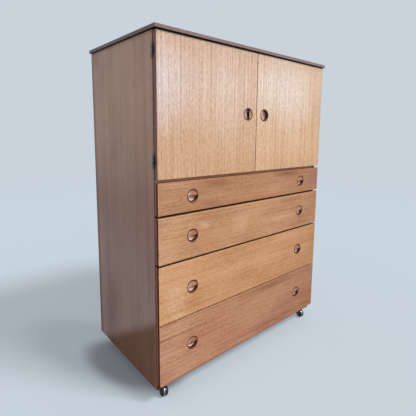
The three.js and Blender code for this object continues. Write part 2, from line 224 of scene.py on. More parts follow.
def makeGrainGroup(values):
    inputs = {"Vector": "Vector", "Pale": "Color", "Mid": "Color", "Dark": "Color", "Pore": "Color"}
    inputs.update(dict.fromkeys(grainStrengths, "Float"))
    inputs["Ring Place"] = "Vector"
    outputs = {"Color": "Color", "Roughness": "Float", "Height": "Float"}
    tree, given, result = newGroup("woodGrain", inputs, outputs)

    def layer(vector, key):
        often, detail, roughness = values[key]
        return noise(tree, stretched(tree, vector, often), 1.0, detail, roughness)

    along, across, deep = parted(tree, given["Vector"])
    drift = centred(tree, layer(given["Vector"], "drift"))
    place = joined(tree, along, summed(tree, across, (drift, values["driftBy"])), deep)
    parts = ("bands", "streaks", "fibres", "patches")
    bands, streaks, fibres, patches = (centred(tree, layer(place, part)) for part in parts)
    # Cathedral rings: a sine of the distance from a place, drawn out along the grain and wobbled by noise
    away = vectorCalc(tree, "SUBTRACT", place, given["Ring Place"])
    distance = vectorCalc(tree, "LENGTH", vectorCalc(tree, "MULTIPLY", away, values["ringStretch"]))
    turns = calc(tree, "MULTIPLY", distance, values["ringCount"] * 2 * math.pi)
    turns = summed(tree, turns, (layer(place, "ringWobble"), values["ringWobbleBy"] * 2 * math.pi))
    rings = calc(tree, "MULTIPLY", calc(tree, "SINE", turns), 0.5)
    layers = {"Bands": bands, "Streaks": streaks, "Fibres": fibres, "Rings": rings, "Patches": patches}
    tone = summed(tree, 0.5, *((found, given[name]) for name, found in layers.items()))
    lower, upper = remap(tree, tone, 0.0, 0.5), remap(tree, tone, 0.5, 1.0)
    wood = mixed(tree, upper, mixed(tree, lower, given["Dark"], given["Mid"]), given["Pale"])
    pores = remap(tree, layer(place, "pores"), values["poreLow"], values["poreHigh"])
    poreShare = calc(tree, "MULTIPLY", pores, given["Pores"])
    rougher = summed(tree, 0.0, (streaks, values["streaksRougher"]), (pores, values["poresRougher"]))
    height = summed(tree, 0.0, (fibres, values["fibresRaised"]), (pores, -values["poresSunk"]))
    tree.links.new(mixed(tree, poreShare, wood, given["Pore"]), result["Color"])
    tree.links.new(rougher, result["Roughness"])
    tree.links.new(height, result["Height"])
    return tree


# The noise that breaks up spots and worn rims: its scale, detail and roughness
wear = {"spot": (1.6, 3.0, 0.5), "rim": (130.0, 3.0, 0.6)}


def makeSpotGroup(values):
    # A soft blot: 1 at its centre, 0 past its size, with a wandering rim
    inputs = {"Vector": "Vector", "Centre": "Vector", "Size": "Vector", "Ragged": "Float"}
    tree, given, result = newGroup("softSpot", inputs, {"Mask": "Float"})
    away = vectorCalc(tree, "SUBTRACT", given["Vector"], given["Centre"])
    shares = vectorCalc(tree, "DIVIDE", away, given["Size"])
    broken = centred(tree, noise(tree, shares, *values["spot"]))
    reach = summed(tree, vectorCalc(tree, "LENGTH", shares), (broken, given["Ragged"]))
    tree.links.new(remap(tree, reach, 1.0, 0.0, smooth=True), result["Mask"])
    return tree


def makeRimGroup(values):
    # Wear along a board's edges: how near a point lies to the planes of its corners, broken up by noise
    inputs = {"Vector": "Vector", "Low": "Vector", "High": "Vector", "Width": "Float", "Ragged": "Float"}
    tree, given, result = newGroup("rimWear", inputs, {"Mask": "Float"})
    toLow = vectorCalc(tree, "SUBTRACT", given["Vector"], given["Low"])
    toHigh = vectorCalc(tree, "SUBTRACT", given["High"], given["Vector"])
    x, y, z = parted(tree, vectorCalc(tree, "MINIMUM", toLow, toHigh))
    nearest = calc(tree, "MINIMUM", x, calc(tree, "MINIMUM", y, z))
    broken = centred(tree, noise(tree, given["Vector"], *values["rim"]))
    share = calc(tree, "DIVIDE", summed(tree, nearest, (broken, given["Ragged"])), given["Width"])
    tree.links.new(remap(tree, share, 1.0, 0.0, smooth=True), result["Mask"])
    return tree


grainGroup = makeGrainGroup(grain)
spotGroup = makeSpotGroup(wear)
rimGroup = makeRimGroup(wear)

# How the three axes of the object map on to along, across and through the grain
grainAxes = {"up": (2, 0, 1), "upSide": (2, 1, 0), "across": (0, 2, 1), "flat": (0, 1, 2), "deep": (1, 0, 2)}


def newMaterial(name):
    material = bpy.data.materials.new(name)
    material.use_nodes = True
    tree = material.node_tree
    tree.nodes.clear()
    shader = tree.nodes.new("ShaderNodeBsdfPrincipled")
    output = tree.nodes.new("ShaderNodeOutputMaterial")
    tree.links.new(shader.outputs[0], output.inputs["Surface"])
    return material, tree, shader.inputs


def bumped(tree, height, distance):
    return addNode(tree, "ShaderNodeBump", {"Height": height, "Distance": distance, "Strength": 1.0})


woodDefaults = {
    "grain": "across",
    "offset": (0, 0, 0),
    "mid": (196, 152, 118),
    "paler": (14, 18, 20),  # how far the pale streaks rise over the middle tone
    "darker": (34, 36, 34),  # and the dark ones sink below it
    "pore": (92, 58, 40),
    "bands": 1.2,
    "streaks": 1.4,
    "fibres": 0.8,
    "pores": 0.35,
    "rings": 0.0,
    "ringPlace": (0, 0, 0),
    "patches": 0.5,
    "roughness": 0.42,
    "shine": 0.5,
    "dull": None,  # direction, from, to: where the surface turns rough
    "dulled": 0.5,
    "bump": 0.00006,
    "coat": 0.0,
    "coatRoughness": 0.12,
    "fades": (),  # direction, from, to, colour, strength
    "spots": (),  # centre, size, colour, strength, raggedness
    "rim": None,  # low corner, high corner, width, colour, strength
    "rimRagged": 2.0,  # times that width
    "polish": (),  # painted highlights and lit patches, in the piece's own UV: centre, size, colour, strength
    "polishRagged": 0.1,
    "grime": None,  # painted shade under the lip, up the piece's other UV: from, to, colour
}


def woodMaterial(name, **changes):
    values = {**woodDefaults, **changes}
    material, tree, shader = newMaterial(name)
    place = ownPlace(tree)
    axes = parted(tree, place)
    turned = joined(tree, *(axes[index] for index in grainAxes[values["grain"]]))
    mid = np.array(values["mid"])
    inputs = {socket: values[socket.lower()] for socket in grainStrengths}
    inputs["Vector"] = vectorCalc(tree, "ADD", turned, values["offset"])
    inputs["Ring Place"] = values["ringPlace"]
    inputs["Mid"], inputs["Pore"] = colour(*mid), colour(*values["pore"])
    inputs["Pale"] = colour(*np.minimum(mid + values["paler"], grain["palest"]))
    inputs["Dark"] = colour(*np.maximum(mid - values["darker"], grain["darkest"]))
    wood = useGroup(tree, grainGroup, inputs)
    # Tints change a flat ground colour; the grain is scaled by how far that has moved, so it stays visible
    ground = colour(*mid)

    def tinted(share, tint, strength):
        return mixed(tree, calc(tree, "MULTIPLY", share, strength), ground, colour(*tint))

    def fade(direction, start, end):
        return remap(tree, vectorCalc(tree, "DOT_PRODUCT", place, direction), start, end, smooth=True)

    def spot(vector, centre, size, ragged):
        inputs = {"Vector": vector, "Centre": centre, "Size": size, "Ragged": ragged}
        return useGroup(tree, spotGroup, inputs)["Mask"]

    def ownUv(layer):
        return addNode(tree, "ShaderNodeUVMap", {}, uv_map=layer)

    for direction, start, end, tint, strength in values["fades"]:
        ground = tinted(fade(direction, start, end), tint, strength)
    for centre, size, tint, strength, ragged in values["spots"]:
        ground = tinted(spot(place, centre, size, ragged), tint, strength)
    # Painted highlights and lit patches
    for centre, size, tint, strength in values["polish"]:
        ground = tinted(spot(ownUv("UVMap"), centre, size, values["polishRagged"]), tint, strength)
    # Painted shade under the lip
    if values["grime"]:
        start, end, tint = values["grime"]
        ground = tinted(remap(tree, parted(tree, ownUv("lipMap"))[1], start, end, smooth=True), tint, 1.0)
    if values["rim"]:
        low, high, width, tint, strength = values["rim"]
        inputs = {"Vector": place, "Low": low, "High": high, "Width": width}
        inputs["Ragged"] = width * values["rimRagged"]
        ground = tinted(useGroup(tree, rimGroup, inputs)["Mask"], tint, strength)
    shade = wood["Color"]
    if isinstance(ground, bpy.types.NodeSocket):
        moved = vectorCalc(tree, "DIVIDE", ground, colour(*mid)[:3])
        shade = vectorCalc(tree, "MULTIPLY", shade, moved)
    tree.links.new(shade, shader["Base Color"])
    rough = calc(tree, "ADD", wood["Roughness"], values["roughness"], clamp=True)
    if values["dull"]:
        rougher = calc(tree, "MULTIPLY", fade(*values["dull"]), values["dulled"])
        rough = calc(tree, "ADD", rough, rougher, clamp=True)
    tree.links.new(rough, shader["Roughness"])
    tree.links.new(bumped(tree, wood["Height"], values["bump"]), shader["Normal"])
    shader["Specular IOR Level"].default_value = values["shine"]
    if values["coat"]:
        shader["Coat Weight"].default_value = values["coat"]
        shader["Coat Roughness"].default_value = values["coatRoughness"]
    return material


def faceSpots(spots, axis, at, depth):
    # Blots on a flat face: two places and two reaches in its plane, to which the face's own axis is added
    made = []
    for first, second, firstReach, secondReach, *looks in spots:
        centre = np.insert((float(first), float(second)), axis, at)
        size = np.insert((float(firstReach), float(secondReach)), axis, depth)
        made.append((centre, size, *looks))
    return made


def wornRim(box, lowAway, highAway, width, tint, strength):
    # The box is widened past the faces whose edges aren't worn
    low, high = box
    return (low - Vector(lowAway), high + Vector(highAway), width, tint, strength)


# Meshes

finish = {
    "mergeWithin": 1e-6,
    "flatWithin": math.radians(0.5),
    "bevelOver": math.radians(35),
    "smoothBelow": math.radians(50),
    "bevelSteps": 2,
    "facing": 0.9,  # cosine of the angle within which a face looks some way
}


def gridFaces(rows, columns, closeRows=False, closeColumns=False):
    # The four corners of each cell of a grid of points that are numbered row by row
    row = np.arange(rows if closeRows else rows - 1)
    column = np.arange(columns if closeColumns else columns - 1)
    row, column = np.meshgrid(row, column, indexing="ij")
    nextRow, nextColumn = (row + 1) % rows, (column + 1) % columns
    here, below = row * columns, nextRow * columns
    corners = (here + column, below + column, below + nextColumn, here + nextColumn)
    return np.stack(corners, axis=-1).reshape(-1, 4)


def surfaceOf(points, closeRows=False, closeColumns=False, slot=0):
    # A grid of points (rows, columns, 3) as one surface: its points, faces and material slot
    rows, columns = points.shape[:2]
    return points.reshape(-1, 3), gridFaces(rows, columns, closeRows, closeColumns), slot


def quadSurface(quads, slot=0):
    # Loose four-cornered faces (count, 4, 3) as one surface
    points = np.asarray(quads, float).reshape(-1, 3)
    return points, np.arange(len(points)).reshape(-1, 4), slot


def lathe(profile, segments, slot=0, closed=False):
    # A profile of (radius, height) points turned about the Z axis
    profile = np.asarray(profile, float)
    angle = np.arange(segments) * 2 * math.pi / segments
    points = np.empty((len(profile), segments, 3))
    points[..., 0] = profile[:, :1] * np.cos(angle)
    points[..., 1] = profile[:, :1] * np.sin(angle)
    points[..., 2] = profile[:, 1:]
    return surfaceOf(points, closeRows=closed, closeColumns=True, slot=slot)


def boxSurface(low, high, slot=0):
    # The six faces of a box
    corners = np.array(np.meshgrid(*zip(low, high), indexing="ij")).reshape(3, -1).T
    loops = ((0, 1, 3, 2), (4, 6, 7, 5), (0, 4, 5, 1), (2, 3, 7, 6), (0, 2, 6, 4), (1, 5, 7, 3))
    return quadSurface(corners[list(loops)], slot)


def placed(surface, turn=None, by=(0, 0, 0)):
    points, faces, slot = surface
    if turn is not None:
        points = points @ np.array(turn, float).T
    return points + np.array(by, float), faces, slot


def makeObject(name, mesh, materials):
    data = bpy.data.meshes.new(name)
    mesh.to_mesh(data)
    mesh.free()
    for material in materials:
        data.materials.append(material)
    made = bpy.data.objects.new(name, data)
    bpy.context.scene.collection.objects.link(made)
    return made


def solidPiece(name, surfaces, materials, smooth=True):
    # Surfaces joined in one mesh, merged where they meet, their faces outwards
    points, faces, slots, count = [], [], [], 0
    for surfacePoints, surfaceFaces, slot in surfaces:
        points.append(surfacePoints)
        faces.append(surfaceFaces + count)
        slots.append(np.full(len(surfaceFaces), slot))
        count += len(surfacePoints)
    data = bpy.data.meshes.new(name)
    data.from_pydata(np.concatenate(points), [], np.concatenate(faces).tolist())
    data.polygons.foreach_set("material_index", np.concatenate(slots).astype(np.int32))
    mesh = bmesh.new()
    mesh.from_mesh(data)
    bpy.data.meshes.remove(data)
    bmesh.ops.remove_doubles(mesh, verts=mesh.verts, dist=finish["mergeWithin"])
    bmesh.ops.dissolve_degenerate(mesh, edges=mesh.edges, dist=finish["mergeWithin"])
    bmesh.ops.recalc_face_normals(mesh, faces=mesh.faces)
    made = makeObject(name, mesh, materials)
    if smooth:
        smoothed(made)
    return made


def smoothed(piece):
    data = piece.data
    data.polygons.foreach_set("use_smooth", np.ones(len(data.polygons), bool))
    data.set_sharp_from_angle(angle=finish["smoothBelow"])


def nodePiece(name, node, materials, slotOf=None):
    # A copy of a node's mesh, its triangles merged and its flat faces made whole
    mesh = bmesh.new()
    mesh.from_mesh(nodes[node].data)
    bmesh.ops.remove_doubles(mesh, verts=mesh.verts, dist=finish["mergeWithin"])
    bmesh.ops.dissolve_limit(mesh, angle_limit=finish["flatWithin"], verts=mesh.verts, edges=mesh.edges)
    mesh.normal_update()
    for face in mesh.faces:
        face.material_index = slotOf(face.normal, face.calc_center_median()) if slotOf else 0
    return makeObject(name, mesh, materials)


def bevelled(piece, width):
    bevel = piece.modifiers.new("edges", "BEVEL")
    bevel.width = width
    bevel.segments = finish["bevelSteps"]
    bevel.limit_method = "ANGLE"
    bevel.angle_limit = finish["bevelOver"]
    bevel.harden_normals = False


def fitted(piece, body, node):
    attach(piece, body)
    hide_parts(node)


def dressNode(node, body, materials, slotOf=None, edge=None, name=None):
    # A node's own mesh with finishes on its faces and, where edge is given, softened edges
    piece = nodePiece(name or f"{node}_dressed", node, materials, slotOf)
    if edge:
        bevelled(piece, edge)
    fitted(piece, body, node)


def slotByFacing(ways, others=0):
    # ways: the direction in which the faces of each slot look; the other faces go to another slot
    def slotOf(normal, centre):
        for slot, way in ways.items():
            if normal.dot(Vector(way)) > finish["facing"]:
                return slot
        return others

    return slotOf


# Carcass: two side panels, the slab on top, the boards inside and the back

carcass = {
    "edge": 0.0007,
    "slabEdge": 0.0012,
    "lipping": 0.0075,  # solid strip along the side's front edge
    "lippingBlend": 0.0006,
    "lippingTone": (178, 116, 98),
    "lippingShare": 0.55,
    "sideOffset": (0.7, 0.31, 0),  # of the grain; the left side has its opposite
    "sideSpotDepth": 0.01,
}

dullAndReflectionLine = ((0, 0.6, 1), 0.185, 0.125)  # below a sloping line the side is rougher, and its colour darker and browner: a painted reflection of the shaded floor
sideLooks = {
    "grain": "upSide",
    "mid": (180, 134, 114),
    "paler": (12, 12, 11),
    "darker": (24, 22, 20),
    "pore": (96, 66, 52),
    "bands": 1.1,
    "streaks": 1.1,
    "fibres": 1.1,
    "patches": 0.9,
    "roughness": 0.36,
    "dull": dullAndReflectionLine,
    "fades": (
        ((0, 0, 1), 0.62, 0.98, (206, 160, 134), 1.0),
        # these two: a pale bluish painted sheen lower down, paler still near the bottom
        ((0, 0, 1), 0.66, 0.36, (194, 160, 150), 0.8),
        ((0, 0, -1), -0.30, -0.08, (206, 170, 162), 0.7),
        # darker and browner below the sloping line: a painted reflection of the shaded floor
        (*dullAndReflectionLine, (134, 88, 58), 0.9),
        ((0, 1, 0), 0.210, 0.240, (136, 80, 52), 0.8),
    ),
    "spots": (  # y, z, reach along y and z, colour, strength, raggedness
        (-0.094, 0.246, 0.0016, 0.018, (86, 58, 48), 0.8, 0.5),
        (-0.214, 0.052, 0.012, 0.014, (196, 140, 100), 0.7, 0.5),
        # dark near the top at the back: painted shade under the slab
        (0.205, 1.17, 0.05, 0.06, (150, 98, 70), 0.6, 0.5),
        (0.105, 0.255, 0.07, 0.05, (186, 146, 128), 0.6, 0.6),
    ),
    "rim": ((1, 1, 0), (1, 1, 1), 0.004, (160, 100, 70), 0.7),
}


def outerX(node, side):
    low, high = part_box(node)
    return high.x if side > 0 else low.x


def sideMaterial(name, side):
    node = f"side_panel_{name}"
    start = -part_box(node)[0].y - carcass["lipping"]
    end = start + carcass["lippingBlend"]
    lipping = ((0, -1, 0), start, end, carcass["lippingTone"], carcass["lippingShare"])
    own = {
        "offset": [side * step for step in carcass["sideOffset"]],
        "fades": (*sideLooks["fades"], lipping),
        "spots": faceSpots(sideLooks["spots"], 0, outerX(node, side), carcass["sideSpotDepth"]),
        "rim": wornRim(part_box(node), *sideLooks["rim"]),
    }
    return woodMaterial(f"side_veneer_{name}", **{**sideLooks, **own})


innerTones = {"mid": (182, 140, 104), "bands": 0.9, "streaks": 1.0}
edgeTones = {
    "paler": (16, 12, 10),
    "darker": (22, 16, 14),
    "pore": (60, 36, 30),
    "bands": 0.6,
    "roughness": 0.6,
    "shine": 0.15,
}
slabTones = {"mid": (128, 94, 90), "paler": (16, 16, 16), "darker": (24, 22, 22), "pore": (56, 38, 34)}
# The slab's underside, near black: painted shade of the line under the slab
paintedShadeTones = {
    "mid": (38, 26, 24),
    "paler": (8, 8, 8),
    "darker": (10, 8, 8),
    "pore": (20, 14, 12),
    "shine": 0.1,
}

innerBoard = woodMaterial("inner_board", grain="deep", **innerTones, roughness=0.55)
innerUpright = woodMaterial("inner_upright", grain="upSide", **innerTones, roughness=0.55)
uprightEdge = woodMaterial(
    "upright_edge",
    grain="up",
    **edgeTones,
    mid=(96, 58, 50),
    # A pale mark where the rail under the doors meets the left side
    spots=(((-0.421, -0.2175, 0.7515), (0.013, 0.02, 0.007), (250, 226, 204), 1.0, 0.2),),
)
# back: how far its centre lies in front of the door's inner face
hingeShade = {"back": 0.001, "size": (0.01, 0.016, 0.028), "tint": (16, 8, 8), "ragged": 0.1}


def shadeAtHinge(level, name, side, values):
    # The dark place round a hinge on the door's edge
    door = f"door_{name}"
    low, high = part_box(f"hinge_{level}_{name}_door_leaf")
    centre = (outerX(door, side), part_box(door)[1].y - values["back"], (low.z + high.z) / 2)
    return (centre, values["size"], values["tint"], 1.0, values["ragged"])


hingeShades = [shadeAtHinge(level, *side, hingeShade) for level in ("lower", "upper") for side in sides]
doorEdge = woodMaterial("door_edge", grain="up", **edgeTones, mid=(152, 112, 108), spots=hingeShades)
drawerSideEdge = woodMaterial(
    "drawer_side_edge",
    grain="up",
    **edgeTones,
    mid=(178, 124, 106),
    # Darker from the middle of the edge on towards the face
    fades=(((0, -1, 0), 0.2270, 0.2300, (86, 42, 32), 1.0),),
)
levelEdge = woodMaterial("level_edge", grain="across", **edgeTones, mid=(84, 46, 40))
railEdge = woodMaterial(
    "rail_edge",
    grain="across",
    mid=(225, 160, 122),
    shine=0.2,
    # The rest of the pale mark at the rail's left end
    spots=(((-0.425, -0.219, 0.752), (0.014, 0.02, 0.012), (250, 236, 218), 1.0, 0.2),),
)
slabFace = woodMaterial(
    "top_veneer",
    grain="flat",
    **slabTones,
    streaks=1.6,
    # The lowest strip of the slab's edge is dark: painted shade of the line under the slab
    fades=(((0, 0, -1), -1.2004, -1.1990, (48, 34, 32), 0.85),),
)
slabUnder = woodMaterial("top_underside", grain="flat", **paintedShadeTones)
print("carcass woods made")


for sideName, sideSign in sides:
    panelMaterials = [sideMaterial(sideName, sideSign), innerUpright, uprightEdge]
    panelSlots = slotByFacing({0: (sideSign, 0, 0), 1: (-sideSign, 0, 0)}, 2)
    panelName, panelNode = f"side_{sideName}", f"side_panel_{sideName}"
    dressNode(panelNode, "carcass", panelMaterials, panelSlots, carcass["edge"], panelName)

slabSlots = slotByFacing({1: (0, 0, -1)})
dressNode("top_board", "carcass", [slabFace, slabUnder], slabSlots, carcass["slabEdge"], "slab")

for innerName in ("bottom_board", "divider_board", "shelf"):
    railSlots = slotByFacing({1: (0, -1, 0)})
    dressNode(innerName, "carcass", [innerBoard, railEdge], railSlots, carcass["edge"])
for sideName, sideSign in sides:
    dressNode(f"shelf_bearer_{sideName}", "carcass", [innerBoard], edge=carcass["edge"])


# Hardboard: fine felted fibres with darker flecks

hardboardValues = {
    "light": (150, 116, 86),
    "dark": (112, 82, 60),
    "fleck": (84, 60, 44),
    "clouds": (9.0, 4.0, 0.6),  # scale, detail, roughness
    "felt": (420.0, 3.0, 0.65),
    "flecks": (0.5, 0.75, 0.0, 0.5),  # the felt's noise from and to, and their share from and to
    "roughness": (0.62, 0.82),
    "bump": 0.0001,
    "pin": (150, 146, 140),
    "pinRadius": 0.0016,
    "pinRimShare": 0.8,
    "pinInset": 0.006,  # of the pins' rows from the panel's edges
    "pinSpacing": 0.105,
    "pinSmoother": 0.35,
    "pinSunk": 3.0,  # times the felt's own height
}
noiseSpread = (0.3, 0.7)  # nearly all of a noise lies between these


def pinMask(tree, place, values):
    # Rows of pin heads along a panel's four edges: the distance to the nearest in each row
    low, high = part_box("back_panel")
    x, y, z = parted(tree, place)

    def inCell(along):
        share = calc(tree, "FRACT", calc(tree, "DIVIDE", along, values["pinSpacing"]))
        return calc(tree, "MULTIPLY", centred(tree, share), values["pinSpacing"])

    def fromRow(across, start, end):
        fromStart, fromEnd = calc(tree, "SUBTRACT", across, start), calc(tree, "SUBTRACT", end, across)
        return calc(tree, "SUBTRACT", calc(tree, "MINIMUM", fromStart, fromEnd), values["pinInset"])

    level = joined(tree, inCell(x), fromRow(z, low.z, high.z), 0)
    upright = joined(tree, inCell(z), fromRow(x, low.x, high.x), 0)
    nearest = calc(tree, "MINIMUM", *(vectorCalc(tree, "LENGTH", away) for away in (level, upright)))
    return remap(tree, nearest, values["pinRadius"], values["pinRadius"] * values["pinRimShare"], smooth=True)


def makeFeltGroup(values):
    inputs = {"Vector": "Vector", "Light": "Color", "Dark": "Color", "Fleck": "Color"}
    outputs = {"Color": "Color", "Roughness": "Float", "Height": "Float"}
    tree, given, result = newGroup("feltedBoard", inputs, outputs)
    clouds, felt = (noise(tree, given["Vector"], *values[layer]) for layer in ("clouds", "felt"))
    shade = mixed(tree, remap(tree, clouds, *noiseSpread), given["Dark"], given["Light"])
    shade = mixed(tree, remap(tree, felt, *values["flecks"]), shade, given["Fleck"])
    tree.links.new(shade, result["Color"])
    tree.links.new(remap(tree, felt, *noiseSpread, *values["roughness"]), result["Roughness"])
    tree.links.new(felt, result["Height"])
    return tree


feltGroup = makeFeltGroup(hardboardValues)


def makeHardboard(name, values, pinned=False):
    material, tree, shader = newMaterial(name)
    place = ownPlace(tree)
    tones = {tone.capitalize(): colour(*values[tone]) for tone in ("light", "dark", "fleck")}
    board = useGroup(tree, feltGroup, {"Vector": place, **tones})
    shade, rough, height = board["Color"], board["Roughness"], board["Height"]
    if pinned:
        pins = pinMask(tree, place, values)
        shade = mixed(tree, pins, shade, colour(*values["pin"]))
        rough = summed(tree, rough, (pins, -values["pinSmoother"]))
        height = summed(tree, height, (pins, -values["pinSunk"]))
    tree.links.new(shade, shader["Base Color"])
    tree.links.new(rough, shader["Roughness"])
    tree.links.new(bumped(tree, height, values["bump"]), shader["Normal"])
    return material


hardboard = makeHardboard("hardboard", hardboardValues)
backBoard = makeHardboard("back_board", hardboardValues, pinned=True)
dressNode("back_panel", "carcass", [backBoard], name="back_dressed")
print("carcass made")


# Fronts: boards with a round hole for each handle, veneered on both faces

front = {
    "edge": 0.0008,
    "holeRadius": 0.0208,
    "patchShare": 1.35,  # half the square about a hole, in hole radii
    "patchCount": 12,
    "spotsBehind": 0.0005,  # how far the blots' centres lie behind the face
    "spotDepth": {"door": 0.2, "drawer": 0.1},
}


def holedPanel(low, high, holes):
    # A board with round holes: a grid of lines that pass each hole's square, rings from that square in to the
    # circle, and walls; all as loose faces that are merged later
    reach = front["holeRadius"] * front["patchShare"]
    steps = np.linspace(-reach, reach, front["patchCount"] + 1)
    columns = np.unique(np.concatenate([[low.x, high.x], *(x + steps for x, z in holes)]))
    rows = np.unique(np.concatenate([[low.z, high.z], holes[0][1] + steps]))
    middleX, middleZ = (columns[1:] + columns[:-1]) / 2, (rows[1:] + rows[:-1]) / 2
    keep = np.ones((len(middleX), len(middleZ)), bool)
    for x, z in holes:
        keep &= ~((abs(middleX - x) < reach)[:, None] & (abs(middleZ - z) < reach)[None, :])
    i, j = np.nonzero(keep)
    around = ((0, 0), (1, 0), (1, 1), (0, 1))
    cells = np.stack([np.stack([columns[i + right], rows[j + up]], -1) for right, up in around], 1)
    run, side = steps[:-1], np.full(len(steps) - 1, reach)
    lines = ((run, -side), (side, run), (-run, side), (-side, -run))
    square = np.concatenate([np.stack(line, -1) for line in lines])
    circle = square / np.linalg.norm(square, axis=1, keepdims=True) * front["holeRadius"]
    ring = np.stack([square, np.roll(square, -1, 0), np.roll(circle, -1, 0), circle], 1)
    flat = np.concatenate([cells, *(ring + hole for hole in holes)])

    def edgeLine(x, z):
        return np.stack(np.broadcast_arrays(x, z), -1)

    outline = [edgeLine(columns[:-1], low.z), edgeLine(high.x, rows[:-1])]
    outline += [edgeLine(columns[:0:-1], high.z), edgeLine(low.x, rows[:0:-1])]

    def raised(points, y):
        return np.stack([points[..., 0], np.full(points.shape[:-1], y), points[..., 1]], -1)

    def wall(loop):
        ahead = np.roll(loop, -1, 0)
        corners = [raised(loop, low.y), raised(ahead, low.y), raised(ahead, high.y), raised(loop, high.y)]
        return np.stack(corners, 1)

    rim = wall(np.concatenate(outline))
    level = abs(rim[:, 0, 2] - rim[:, 1, 2]) < finish["mergeWithin"]
    top = level & (rim[:, 0, 2] > middleZ.mean())
    holeWalls = np.concatenate([wall(circle + hole) for hole in holes])
    return [
        quadSurface(raised(flat, low.y), 0),
        quadSurface(raised(flat, high.y), 1),
        quadSurface(np.concatenate([rim[~level], holeWalls]), 2),
        quadSurface(rim[top], 3),
        quadSurface(rim[level & ~top], 4),
    ]


def handleCentre(node):
    low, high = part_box(node)
    middle = (low + high) / 2
    return middle.x, middle.z


def frontPiece(name, node, handles, body, materials):
    low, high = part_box(node)
    surfaces = holedPanel(low, high, [handleCentre(handle) for handle in handles])
    piece = solidPiece(name, surfaces, materials, smooth=False)
    bevelled(piece, front["edge"])
    fitted(piece, body, node)


def frontFace(name, kind, node, looks, fades):
    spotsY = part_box(node)[0].y + front["spotsBehind"]
    spots = faceSpots(looks["spots"], 1, spotsY, front["spotDepth"][kind])
    rim = wornRim(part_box(node), *looks["rim"])
    return woodMaterial(name, **{**looks, "spots": spots, "rim": rim, "fades": fades})


# The fronts' spots: x, z, reach along x and z, colour, strength, raggedness
doorLooks = {
    "left": {
        "offset": (0.4, 1.7, 0),
        "spots": (
            # the first two, whitish blots high up: painted sheen
            (-0.43, 1.05, 0.20, 0.20, (238, 218, 214), 0.85, 0.6),
            (-0.17, 1.05, 0.30, 0.20, (238, 210, 192), 0.6, 0.6),
            (-0.08, 0.77, 0.34, 0.11, (214, 166, 118), 0.7, 0.5),
        ),
    },
    "right": {
        "offset": (1.9, 3.1, 0),
        "mid": (232, 186, 144),
        "spots": (
            # the first, a whitish blot high up: painted sheen
            (0.16, 1.07, 0.34, 0.19, (248, 228, 212), 0.8, 0.5),
            (0.26, 0.76, 0.40, 0.12, (216, 166, 118), 0.8, 0.5),
            (0.43, 0.98, 0.12, 0.26, (216, 168, 124), 0.7, 0.5),
        ),
    },
}
doorGrain = {
    "grain": "up",
    "mid": (222, 176, 137),
    "paler": (16, 20, 22),
    "darker": (34, 40, 40),
    "pore": (124, 82, 58),
    "bands": 0.35,
    "streaks": 1.9,
    "fibres": 1.5,
    "patches": 0.3,
    "pores": 0.4,
    "rim": ((0, 1, 0), (0, 1, 0), 0.0022, (186, 136, 100), 0.5),
}
doorShades = {
    "fades": (
        # paler upwards: a painted sheen over the doors' upper part
        ((0, 0, 1), 0.86, 1.10, (226, 188, 160), 0.5),
        # darker near the top: painted shade under the slab's overhang
        ((0, 0, 1), 1.12, 1.19, (204, 158, 122), 0.25),
    ),
    "topLine": (0.0030, 0.0018, (14, 7, 5), 1.0),  # the shade under the slab, down from the door's top
}

drawerLooks = {
    1: {
        "mid": (190, 131, 88),
        "spots": (
            (-0.185, 0.728, 0.100, 0.026, (136, 80, 40), 0.6, 0.6),
            (0.205, 0.736, 0.13, 0.026, (134, 70, 22), 0.8, 0.6),
            (0.10, 0.68, 0.14, 0.03, (214, 156, 112), 0.6, 0.6),
            (-0.215, 0.662, 0.07, 0.016, (156, 98, 60), 0.6, 0.6),
            (-0.345, 0.690, 0.010, 0.014, (172, 92, 44), 0.55, 0.5),
            (0.42, 0.695, 0.09, 0.05, (164, 104, 70), 0.7, 0.4),
            (-0.37, 0.733, 0.09, 0.018, (216, 162, 126), 0.55, 0.5),
            (-0.28, 0.698, 0.07, 0.014, (168, 108, 66), 0.5, 0.5),
        ),
        "offset": (0.2, 0.3, 0),
    },
    2: {
        "mid": (206, 149, 105),
        "spots": (
            (-0.246, 0.587, 0.034, 0.022, (230, 190, 152), 0.5, 0.9),
            (-0.07, 0.56, 0.07, 0.10, (224, 170, 128), 0.6, 0.8),
            (0.20, 0.53, 0.12, 0.06, (226, 172, 128), 0.6, 0.8),
            (0.24, 0.620, 0.12, 0.024, (172, 110, 66), 0.5, 0.6),
            (-0.37, 0.622, 0.10, 0.020, (230, 180, 142), 0.5, 0.5),
            (-0.429, 0.52, 0.003, 0.010, (96, 46, 32), 0.9, 0.6),
        ),
        "offset": (1.3, 0.9, 0),
        "patches": 1.0,
    },
    3: {
        "mid": (216, 157, 108),
        "spots": (
            (-0.05, 0.46, 0.25, 0.03, (206, 144, 92), 0.3, 0.6),
            (-0.36, 0.33, 0.07, 0.09, (240, 190, 146), 0.7, 0.6),
            (0.42, 0.40, 0.06, 0.12, (184, 124, 76), 0.5, 0.6),
        ),
        "offset": (2.6, 1.7, 0),
        "streaks": 1.3,
        "patches": 0.9,
    },
    4: {
        "mid": (196, 137, 101),
        "spots": (
            (0.081, 0.262, 0.24, 0.026, (160, 98, 56), 0.75, 0.5),
            (-0.36, 0.240, 0.14, 0.05, (222, 168, 134), 0.7, 0.6),
            (-0.41, 0.10, 0.06, 0.035, (170, 112, 80), 0.55, 0.5),
            (-0.054, 0.189, 0.006, 0.003, (104, 56, 40), 0.85, 0.4),
            (0.10, 0.09, 0.30, 0.06, (166, 104, 80), 0.5, 0.5),
        ),
        "offset": (3.9, 2.3, 0),
        "rings": 0.16,
        "ringPlace": (3.2, 2.32, 0),
        "patches": 1.0,
    },
}
